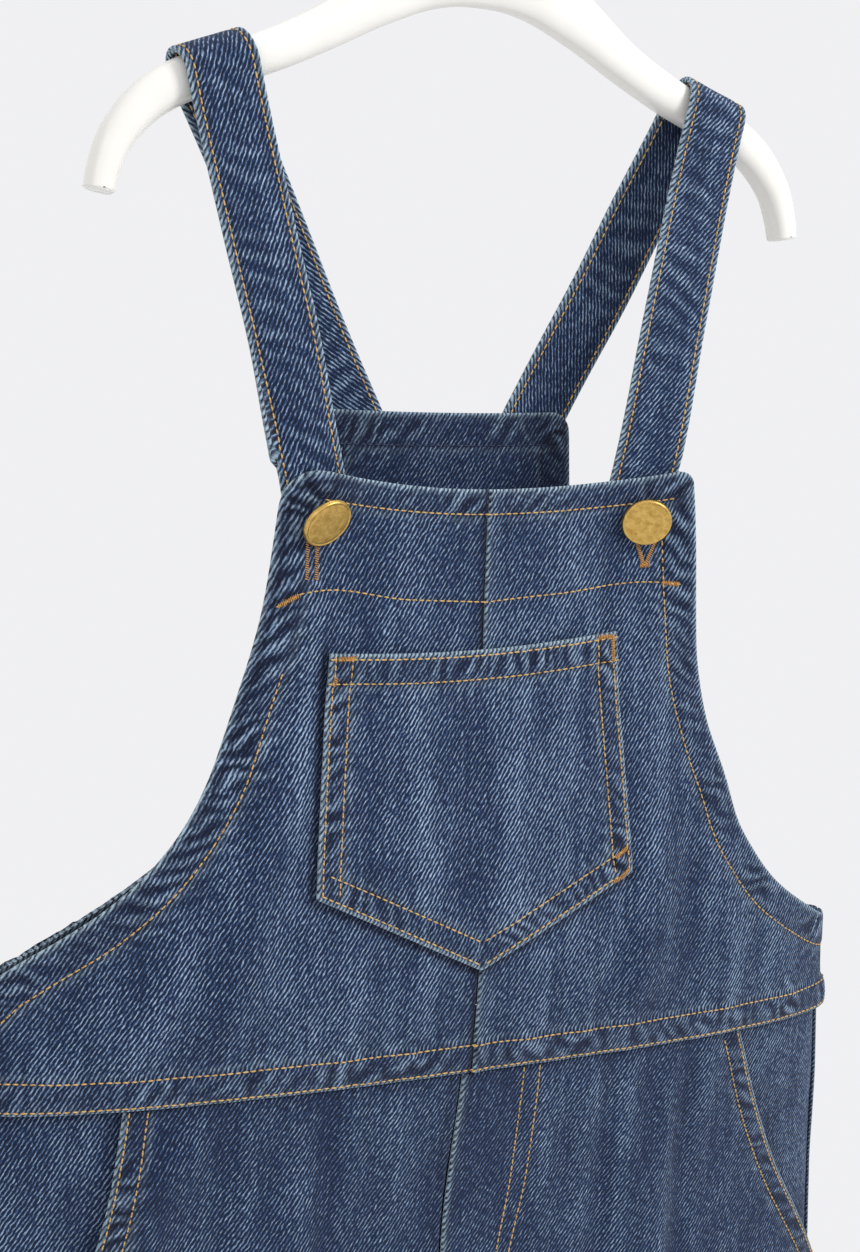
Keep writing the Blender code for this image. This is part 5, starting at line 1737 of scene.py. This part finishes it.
@dataclass
class Strap:
    """A strap of folded denim from behind the bib, over the hanger, to the outside of the back bib."""

    side: Side
    finishes: Finishes
    stitches: StitchTree
    arm_z: float
    width: float = 0.025
    thickness: float = 0.0022
    bib_x: dict = field(default_factory=lambda: {Side.LEFT: 0.0625, Side.RIGHT: 0.0665})
    top_x: dict = field(default_factory=lambda: {Side.LEFT: 0.0928, Side.RIGHT: 0.0950})
    loop: dict = field(default_factory=lambda: {Side.LEFT: 0.0092, Side.RIGHT: 0.0089})
    back_x: float = 0.0385
    front_lean: float = math.radians(13.2)
    back_lean: float = math.radians(28)
    end: float = 0.036
    back_end: float = 0.002
    clear: float = 0.008
    row: float = 0.0026
    form: BibForm = field(default_factory=BibForm)

    def _lap_row(self, surface: Callable[[Array, Array], Array], x: float, lean: float, drop: float,
                 front: float, depth: float) -> tuple[Array, Array]:
        """One row of the strap where it lies on a bib.

        Args:
            surface: the bib's inner face.
            x: distance of the strap's middle from the centre.
            lean: its lean.
            drop: its drop.
            front: sign of the bib's outer side along -Y.
            depth: how far out of the bib's inner face its middle layer lies.

        Returns:
            Points across the strap and its normals there.
        """
        reach = self.columns * self.width / 2
        at = drop + reach * math.sin(lean)
        theta = np.arcsin(self.side * (x + reach * math.cos(lean)) / along(RINGS, at, HALF))
        step = 0.0005
        across = surface(theta + step, at) - surface(theta - step, at)
        down = surface(theta, at + step) - surface(theta, at - step)
        n = unit(np.cross(across, down))
        n = np.where((n[:, 1:2] * -front) > 0, n, -n)
        return surface(theta, at) + depth * n, n

    @staticmethod
    def _lap_end(before: tuple[Array, Array], after: tuple[Array, Array]) -> tuple[Array, Array, Array]:
        """Middle, width direction and way along the strap at the upper of two rows of a lap."""
        middle = len(before[0]) // 2
        row = before if before[0][middle][2] > after[0][middle][2] else after
        return row[0][middle], unit(row[0][-1] - row[0][0]), unit(after[0][middle] - before[0][middle])

    def _free_run(self, start: tuple[Array, Array, Array],
                  end: tuple[Array, Array, Array]) -> list[tuple[Array, Array]]:
        """Rows of the strap between two given ones, where it hangs free.

        Args:
            start: middle, width direction and way of the first.
            end: the same of the last.

        Returns:
            Points and normals of each row.
        """
        length = float(np.linalg.norm(end[0] - start[0]))

        def middle(t: float) -> Array:
            h = float(ease(t))
            bend = t * (1 - t) ** 2 * start[2] - t * t * (1 - t) * end[2]
            return start[0] * (1 - h) + end[0] * h + length * bend

        rows = []
        for t in np.linspace(0, 1, round(length / FINE))[1:-1]:
            way = unit(middle(t + 0.01) - middle(t - 0.01))
            across = unit(start[1] * (1 - t) + end[1] * t)
            n = self.side * unit(np.cross(across, way))
            points = middle(t) + (self.columns * self.width / 2)[:, None] * across
            rows.append((points, np.tile(n, (len(points), 1))))
        return rows

    def _settle(self, run: list, lap: tuple[Array, Array], end: tuple[Array, Array, Array]) -> None:
        """Lets the bend across a lap's last row die away along the free run that follows it.

        Args:
            run: rows of the free run, from the lap on.
            lap: points and normals of the lap's last row.
            end: middle, width direction and way of that row.
        """
        flat = end[0] + (self.columns * self.width / 2)[:, None] * end[1]
        bend, tilt = lap[0] - flat, lap[1] - run[0][1]
        for row, (points, normals) in enumerate(run):
            left = float(ease(1 - (row + 1) * FINE / 0.045))
            if left > 0:
                points += bend * left
                normals[:] = unit(normals + tilt * left)

    def make(self) -> Shell:
        """Builds the strap, sews it and returns its shell."""
        side = int(self.side)
        self.columns = spread(-1, 1, 0.11, (0.025, 0.070))
        half = self.thickness / 2
        tilt, back_tilt = math.tan(self.front_lean), math.tan(self.back_lean)
        lower = [self._lap_row(self.form.front, self.bib_x[self.side] - tilt * drop, self.front_lean, drop,
                               1.0,
                               -LAID_ON_GAP - half) for drop in spread(self.end, -self.clear, FINE,
                                                                       (0.0003, 0.0009))]
        upper = [self._lap_row(self.form.back, self.back_x - back_tilt * (drop - BACK_TOP), self.back_lean,
                               drop,
                               -1.0, CLOTH + LAID_ON_GAP + half)
                 for drop in spread(BACK_TOP - self.clear, self.back_end, FINE, (0.0003, 0.0009))]
        arm = np.array((side * self.top_x[self.side], 0.0, self.arm_z))
        front = np.array((0.0, -1.0, 0.0))
        loop, ways, overs = [], [], []
        for phi in np.linspace(0, math.pi, 26):
            lean = self.front_lean + (self.back_lean - self.front_lean) * phi / math.pi
            across = np.array((side * math.cos(lean), 0.0, -math.sin(lean)))
            up = np.array((side * math.sin(lean), 0.0, math.cos(lean)))
            n = math.cos(phi) * front + math.sin(phi) * up
            middle = arm + self.loop[self.side] * n
            points = middle + (self.columns * self.width / 2)[:, None] * across
            loop.append((points, np.broadcast_to(n, points.shape)))
            ways.append(-math.sin(phi) * front + math.cos(phi) * up)
            overs.append((middle, across))
        first = self._lap_end(lower[-6], lower[-1])
        last = self._lap_end(upper[0], upper[5])
        front_run = self._free_run(first, (*overs[0], ways[0]))
        back_run = self._free_run((*overs[-1], ways[-1]), last)
        self._settle(front_run, lower[-1], first)
        self._settle(back_run[::-1], upper[0], last)
        rows = lower + front_run + loop + back_run + upper
        points = np.array([row[0] for row in rows])
        normals = np.array([row[1] for row in rows])
        run = path_lengths(points[:, points.shape[1] // 2])
        flat = np.stack((np.broadcast_to(self.columns * self.width / 2, points.shape[:2]),
                         np.broadcast_to(run[:, None], points.shape[:2])), axis=2).copy()
        flat[..., 0] *= side
        shell = Shell("strap_denim_" + self.side.word, points - normals * half, flat, normals, self.thickness)
        free = ease((run - 0.05) / 0.03) * ease((run[-1] - 0.04 - run) / 0.03)
        shell.lift += (0.0007 * free * wander(run / 0.06, 0 * run, 3.0 + side))[:, None]
        for k, fringe in enumerate((Fringe.START, Fringe.END)):
            shell.hem(shell.fringe(fringe), self.row, 0.0, wear=1.0, extra=0.0, seed=1.0 + k + side)
        u, v = shell.flat[..., 0], shell.flat[..., 1]
        slants = np.sin(2 * math.pi * (v + 0.5 * u) / 0.0085 + 2.4 * wander(u / 0.02, v / 0.03, 7.0 + side))
        inner = ease((0.0098 - np.abs(u)) / 0.003)
        slants *= np.clip(0.5 + 0.7 * wander(v / 0.025, u / 0.03, 8.0 + side), 0, 1.2)
        shell.thick += 0.00012 * slants * inner
        shell.fade += 0.16 * slants * inner + 0.10 * wander(u / 0.006, v / 0.05, 5.0 - side)
        shell.wear += 0.10 * np.clip(slants, 0, 1) * inner
        shell.build(self.finishes.strap)
        gold = Seams("topstitching_strap_" + self.side.word, self.finishes.golden)
        tacks = Seams("bartacks_strap_" + self.side.word, self.finishes.orange, 0.0021, 0.00055)
        reach = self.width / 2 - self.row
        for x in (-reach, reach):
            path = np.array(((x, 0.0015), (x, run[-1] - 0.0015)))
            gold.row(shell, path)
            gold.row(shell, path, inside=True)
        for rise in (0.0020, 0.0200):
            tacks.bar(shell, (-reach, run[-1] - rise), (reach, run[-1] - rise), 0.0016)
        gold.row(shell, np.array(((-reach, run[-1] - 0.0025), (reach, run[-1] - 0.0190))))
        gold.row(shell, np.array(((reach, run[-1] - 0.0025), (-reach, run[-1] - 0.0190))))
        dress(shell, "strap_" + self.side.word,
              [gold, tacks], self.stitches)
        return shell


# Hardware


def lathe(name: str, profile: Sequence[tuple[float, float]], sides: int, material: bpy.types.Material,
          place: Matrix) -> bpy.types.Object:
    """A closed solid turned about its own axis.

    Args:
        name: the piece's name.
        profile: radii and heights from the axis to the axis.
        sides: steps round it.
        material: its finish.
        place: where it stands.

    Returns:
        The object, with its place in its mesh.
    """
    turn = np.arange(sides) * 2 * math.pi / sides
    verts = [(0.0, 0.0, profile[0][1])]
    for radius, z in profile[1:-1]:
        verts += [(radius * math.cos(t), radius * math.sin(t), z) for t in turn]
    verts.append((0.0, 0.0, profile[-1][1]))
    rings = [[1 + i * sides + k for k in range(sides)] for i in range(len(profile) - 2)]
    faces = [(0, a, b) for a, b in zip(rings[0], rings[0][1:] + rings[0][:1])]
    for upper, lower in zip(rings, rings[1:]):
        faces += [(upper[k], lower[k], lower[(k + 1) % sides], upper[(k + 1) % sides]) for k in range(sides)]
    faces += [(len(verts) - 1, b, a) for a, b in zip(rings[-1], rings[-1][1:] + rings[-1][:1])]
    mesh = bpy.data.meshes.new(name)
    mesh.from_pydata(verts, [], faces)
    mesh.transform(place)
    fix_normals(mesh)
    mesh.shade_smooth()
    mesh.set_sharp_from_angle(angle=math.radians(50))
    mesh.materials.append(material)
    return add_object(name, mesh)


def rod(name: str, sections: Sequence[tuple[Array, float, float]], power: float, sides: int,
        material: bpy.types.Material) -> bpy.types.Object:
    """A closed rod whose line lies in the XZ plane.

    Args:
        name: the piece's name.
        sections: middle, half size in the XZ plane and half size in Y of each.
        power: 2 for a round section, more for a squarer one.
        sides: points of a section.
        material: its finish.

    Returns:
        The object.
    """
    turn = 2 * math.pi * (np.arange(sides) + 0.5) / sides
    c, s = np.cos(turn), np.sin(turn)
    out = (np.abs(c) ** power + np.abs(s) ** power) ** (-1 / power)
    verts, faces = [], []
    for i, (middle, half, half_y) in enumerate(sections):
        ahead = sections[min(i + 1, len(sections) - 1)][0] - sections[max(i - 1, 0)][0]
        across = unit(np.array((-ahead[2], 0.0, ahead[0])))
        verts += list(middle + (out * c * half)[:, None] * across
                      + (out * s * half_y)[:, None] * np.array((0.0, 1.0, 0.0)))
    for i in range(len(sections) - 1):
        for k in range(sides):
            nxt = (k + 1) % sides
            faces.append((i * sides + k, (i + 1) * sides + k, (i + 1) * sides + nxt, i * sides + nxt))
    last = (len(sections) - 1) * sides
    faces += [tuple(range(sides)), tuple(range(last + sides - 1, last - 1, -1))]
    mesh = bpy.data.meshes.new(name)
    mesh.from_pydata([tuple(v) for v in verts], [], faces)
    fix_normals(mesh)
    mesh.shade_smooth()
    mesh.set_sharp_from_angle(angle=math.radians(50))
    mesh.materials.append(material)
    return add_object(name, mesh)


def ride_hard(obj: bpy.types.Object, node: str) -> None:
    """Rides a hard piece on the body in the place of its solid."""
    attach(obj, BODY)
    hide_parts(node)
    LOG.info("%s: %d faces", obj.name, len(obj.data.polygons))


@dataclass
class TackButton:
    """A tack button: a flat cap with a thin rolled rim, and its shank through bib and strap."""

    side: Side
    finishes: Finishes
    x: dict = field(default_factory=lambda: {Side.LEFT: 0.0632, Side.RIGHT: 0.0645})
    drop: float = 0.0130
    radius: float = 0.0091
    thickness: float = 0.0021
    standoff: float = 0.0040
    shank: float = 0.0024
    shank_length: float = 0.0100
    facing: dict = field(default_factory=lambda: {
        Side.LEFT: (-0.354, -0.847, -0.396), Side.RIGHT: (0.256, -0.823, -0.505)})
    form: BibForm = field(default_factory=BibForm)

    def make(self) -> bpy.types.Object:
        """Builds the button and rides it."""
        theta = np.arcsin(np.array([self.side * self.x[self.side] / along(RINGS, self.drop, HALF)]))
        drop = np.array([self.drop])
        step = 0.0005
        across = self.form.front(theta + step, drop) - self.form.front(theta - step, drop)
        down = self.form.front(theta, drop + step) - self.form.front(theta, drop - step)
        n = unit(np.cross(across, down))[0]
        n = n if n[1] < 0 else -n
        facing = Vector(self.facing[self.side]).normalized()
        middle = Vector(self.form.front(theta, drop)[0] + CLOTH * n) + facing * self.standoff
        place = Matrix.Translation(middle) @ facing.to_track_quat("Z", "Y").to_matrix().to_4x4()
        r, t = self.radius, self.thickness
        profile = [(0.0, t), (0.30 * r, 0.998 * t), (0.60 * r, 0.99 * t), (0.80 * r, 0.975 * t),
                   (0.845 * r, 0.955 * t),
                   (0.868 * r, 0.915 * t), (0.888 * r, 0.925 * t), (0.905 * r, 0.985 * t), (0.930 * r, t),
                   (0.955 * r, 0.975 * t), (0.978 * r, 0.88 * t), (0.993 * r, 0.72 * t), (r, 0.52 * t),
                   (0.994 * r, 0.32 * t), (0.975 * r, 0.14 * t), (0.94 * r, 0.03 * t), (0.90 * r, 0.0),
                   (1.45 * self.shank, 0.0), (1.12 * self.shank, -0.0005), (self.shank, -0.0012),
                   (self.shank, -self.shank_length + 0.0003), (0.9 * self.shank, -self.shank_length),
                   (0.0, -self.shank_length)]
        obj = lathe("tack_button_" + self.side.word, profile, 96, self.finishes.brass, place)
        ride_hard(obj, "button_" + self.side.word)
        return obj


@dataclass
class Hanger:
    """A moulded hanger with its wire hook."""

    finishes: Finishes
    arm: Table = (
        (0.0000, 0.1760, 0.0280),
        (0.0200, 0.1715, 0.0240),
        (0.0400, 0.1605, 0.0180),
        (0.0570, 0.1500, 0.0145),
        (0.0750, 0.1410, 0.0135),
        (0.0920, 0.1343, 0.0135),
        (0.1050, 0.1290, 0.0140),
        (0.1170, 0.1215, 0.0132),
        (0.1265, 0.1105, 0.0115),
        (0.1310, 0.0995, 0.0102),
        (0.1325, 0.0925, 0.0095),
    )
    depth: float = 0.012
    power: float = 2.5
    sides: int = 48
    wire: float = 0.0020
    round_radius: float = 0.0190
    neck: float = math.radians(50)
    tip: float = math.radians(202)
    socket: float = 0.012
    clearance: float = 0.0003

    def arm_z(self, x: float) -> float:
        """Height of the middle of the arm at a distance from the centre."""
        return BIB_TOP_Z + float(along(self.arm, x, 1))

    def _top(self) -> float:
        """Top of the hub."""
        return BIB_TOP_Z + self.arm[0][1] + self.arm[0][2] / 2

    def _through(self, points: list[Array], t: float) -> Array:
        """Smooth curve through a list of points, one for each whole number t."""
        i = min(len(points) - 2, max(0, math.floor(t)))
        u = t - i
        near, far = points[i], points[i + 1]
        before = points[i - 1] if i > 0 else 2 * near - far
        after = points[i + 2] if i + 2 < len(points) else 2 * far - near
        return 0.5 * (2 * near + (far - before) * u + (2 * before - 5 * near + 4 * far - after) * u * u
                      + (3 * near - before - 3 * far + after) * u**3)

    def make_body(self) -> bpy.types.Object:
        """Builds the moulded arms with their socket for the wire."""
        right = [np.array(row) for row in self.arm]
        stations = [row * np.array((-1, 1, 1)) for row in reversed(right[1:])] + right
        sections = []
        last = len(stations) - 1
        for t in np.linspace(0, last, 9 * last + 1):
            x, up, thick = self._through(stations, float(t))
            sections.append((np.array((x, 0.0, BIB_TOP_Z + up)), thick / 2, self.depth / 2))
        sections = self._eased_ends(sections, ((0.0, 0.86), (0.0004, 0.95), (0.0011, 1.0)))
        body = rod("hanger_white", sections, self.power, self.sides, self.finishes.plastic)
        top = self._top()
        hole = self.wire + self.clearance
        cutter = lathe("hanger_socket", [(0.0, top + 0.01), (hole, top + 0.01), (hole, top - self.socket),
                                         (0.0,
                                          top - self.socket)], 32, self.finishes.plastic, Matrix.Identity(4))
        cut = body.modifiers.new("socket", "BOOLEAN")
        cut.operation, cut.object = "DIFFERENCE", cutter
        graph = bpy.context.evaluated_depsgraph_get()
        made = bpy.data.meshes.new_from_object(body.evaluated_get(graph), depsgraph=graph)
        body.modifiers.remove(cut)
        body.data = made
        bpy.data.objects.remove(cutter)
        ride_hard(body, "hanger_body")
        return body

    @staticmethod
    def _eased_ends(sections: list, ends: Sequence[tuple[float, float]]) -> list:
        """Adds two short sections at each end that round it off, inside the same length."""
        made = list(sections)
        for front in (True, False):
            edge, inner = (made[0], made[1]) if front else (made[-1], made[-2])
            way = unit(inner[0] - edge[0])
            extra = [(edge[0] + way * inset, edge[1] * share, edge[2] * share) for inset, share in ends]
            made = extra + made[1:] if front else made[:-1] + extra[::-1]
        return made

    def make_hook(self) -> bpy.types.Object:
        """Builds the wire from its socket, bent out and round over the rail."""
        centre = self.wire - self.round_radius
        bend = self.round_radius * math.cos(self.neck) / (1 - math.cos(self.neck))
        bend_z = centre - (self.round_radius + bend) * math.sin(self.neck)
        foot = self._top() - self.socket + SEAM_GAP
        line = [(0.0, z) for z in np.linspace(foot, bend_z, 10)[:-1]]
        line += [(bend * (1 - math.cos(a)), bend_z + bend * math.sin(a)) for a in np.linspace(0, self.neck,
                                                                                              18)[:-1]]
        line += [(self.round_radius * math.cos(a), centre + self.round_radius * math.sin(a))
                 for a in np.linspace(-self.neck, self.tip, 96)]
        sections = [(np.array((x, 0.0, z)), self.wire, self.wire) for x, z in line]
        sections = self._eased_ends(sections, [(0.0, 0.35), (0.0003, 0.75), (0.0009, 0.95)])
        hook = rod("hook_wire", sections, 2.0, 24, self.finishes.chrome)
        ride_hard(hook, "hanger_hook")
        return hook


@dataclass
class Studio:
    """Pale room, soft lights, floor below the hem and the camera at the photograph's angle."""

    place: tuple = (-0.2856, -0.5481, -0.2012)
    yaw: float = math.radians(26.62)
    pitch: float = math.radians(9.39)
    roll: float = math.radians(2.10)
    floor_drop: float = 1.42
    wall: str = "F0F0F2"

    def make(self) -> None:
        """Sets up the world, the lights, the floor and the camera."""
        scene = bpy.context.scene
        scene.view_settings.view_transform = "Standard"
        world = bpy.data.worlds.new("pale_studio")
        world.use_nodes = True
        background = world.node_tree.nodes["Background"]
        background.inputs["Color"].default_value = linear(self.wall)
        background.inputs["Strength"].default_value = 1.0
        scene.world = world
        focus = Vector((0.0, 0.0, -0.33))
        self._light("key", (0.85, -1.15, 0.55), focus, 0.55, 17.0)
        self._light("fill", (-1.25, -1.0, 0.10), focus, 1.2, 3.0)
        self._light("top", (0.2, 0.3, 1.3), focus, 0.9, 5.0)
        self._floor()
        self._camera()

    def _light(self, name: str, place: tuple[float, float, float], focus: Vector, size: float,
               power: float) -> None:
        """One square soft light aimed at the garment.

        Args:
            name: the light's name.
            place: where it stands.
            focus: where it points.
            size: its side.
            power: in watts.
        """
        lamp = bpy.data.lights.new(name, "AREA")
        lamp.size, lamp.energy = size, power
        obj = bpy.data.objects.new(name, lamp)
        obj.location = place
        obj.rotation_mode = "QUATERNION"
        obj.rotation_quaternion = (focus - obj.location).to_track_quat("-Z", "Y")
        bpy.context.scene.collection.objects.link(obj)

    def _floor(self) -> None:
        """A pale painted floor that fades out into the room."""
        mesh = bpy.data.meshes.new("floor")
        shell = bmesh.new()
        bmesh.ops.create_circle(shell, cap_ends=True, segments=96, radius=1.4,
                                matrix=Matrix.Translation((0.0, 0.0, -self.floor_drop)))
        shell.to_mesh(mesh)
        shell.free()
        finish, tree, shader = new_material("painted_floor")
        place = add_node(tree, "ShaderNodeTexCoord")
        ball = add_node(tree, "ShaderNodeMapping", {"Location": (0.0, 0.0, self.floor_drop)},
                        {"Vector": place.outputs["Object"]})
        radius = add_node(tree, "ShaderNodeVectorMath", {"operation": "LENGTH"}, {0: ball.outputs["Vector"]})
        share = add_node(tree, "ShaderNodeMapRange",
                         {"interpolation_type": "SMOOTHSTEP", 1: 0.35, 2: 1.3, 3: 1.0, 4: 0.0},
                         {0: radius.outputs["Value"]})
        grain = add_node(tree, "ShaderNodeTexNoise", {"Scale": 30.0, "Detail": 3.0},
                         {"Vector": place.outputs["Object"]})
        tint = add_node(tree, "ShaderNodeMix",
                        {"data_type": "RGBA", 6: linear("ECECEE"), 7: linear("F1F1F2")},
                        {0: grain.outputs["Fac"]})
        tree.links.new(tint.outputs[2], shader.inputs["Base Color"])
        tree.links.new(share.outputs[0], shader.inputs["Alpha"])
        shader.inputs["Roughness"].default_value = 0.7
        mesh.materials.append(finish)
        add_object("floor", mesh)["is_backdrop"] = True

    def _camera(self) -> None:
        """A camera whose frame holds the photograph's view of 860 by 1252."""
        way = np.array((math.sin(self.yaw) * math.cos(self.pitch), math.cos(self.yaw) * math.cos(self.pitch),
                        -math.sin(self.pitch)))
        level = np.array((math.cos(self.yaw), -math.sin(self.yaw), 0.0))
        upward = np.cross(level, way)
        c, s = math.cos(self.roll), math.sin(self.roll)
        right, up = c * level + s * upward, -s * level + c * upward
        lens = bpy.data.cameras.new("camera")
        lens.lens, lens.sensor_fit, lens.sensor_height = 50.0, "VERTICAL", 36.0
        lens.clip_start, lens.clip_end = 0.01, 20.0
        camera = bpy.data.objects.new("camera", lens)
        turn = Matrix((right, up, -way)).transposed()
        camera.matrix_world = Matrix.Translation(self.place) @ turn.to_4x4()
        bpy.context.scene.collection.objects.link(camera)
        bpy.context.scene.camera = camera


def corners() -> list[list[float]]:
    """Lowest and highest corner of what shows, as plain lists."""
    return [list(map(float, corner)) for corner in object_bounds()]


def main() -> None:
    """Builds every sub-assembly in order."""
    logging.basicConfig(level=logging.INFO, format="%(message)s", stream=sys.stdout)
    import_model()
    finishes, stitches = Finishes(), StitchTree()
    hanger = Hanger(finishes)
    hanger.make_body()
    hanger.make_hook()
    BackBib(finishes, stitches).make()
    for side in Side:
        TackButton(side, finishes).make()
        FrontBib(side, finishes, stitches).make()
        strap = Strap(side, finishes, stitches, 0.0)
        strap.arm_z = hanger.arm_z(strap.top_x[side])
        strap.make()
        PocketFacing(side, finishes, stitches).make()
        for facing in Facing:
            Leg(side, facing, finishes, stitches).make()
    BibPocket(finishes, stitches).make()
    Studio().make()


if __name__ == "__main__":
    main()
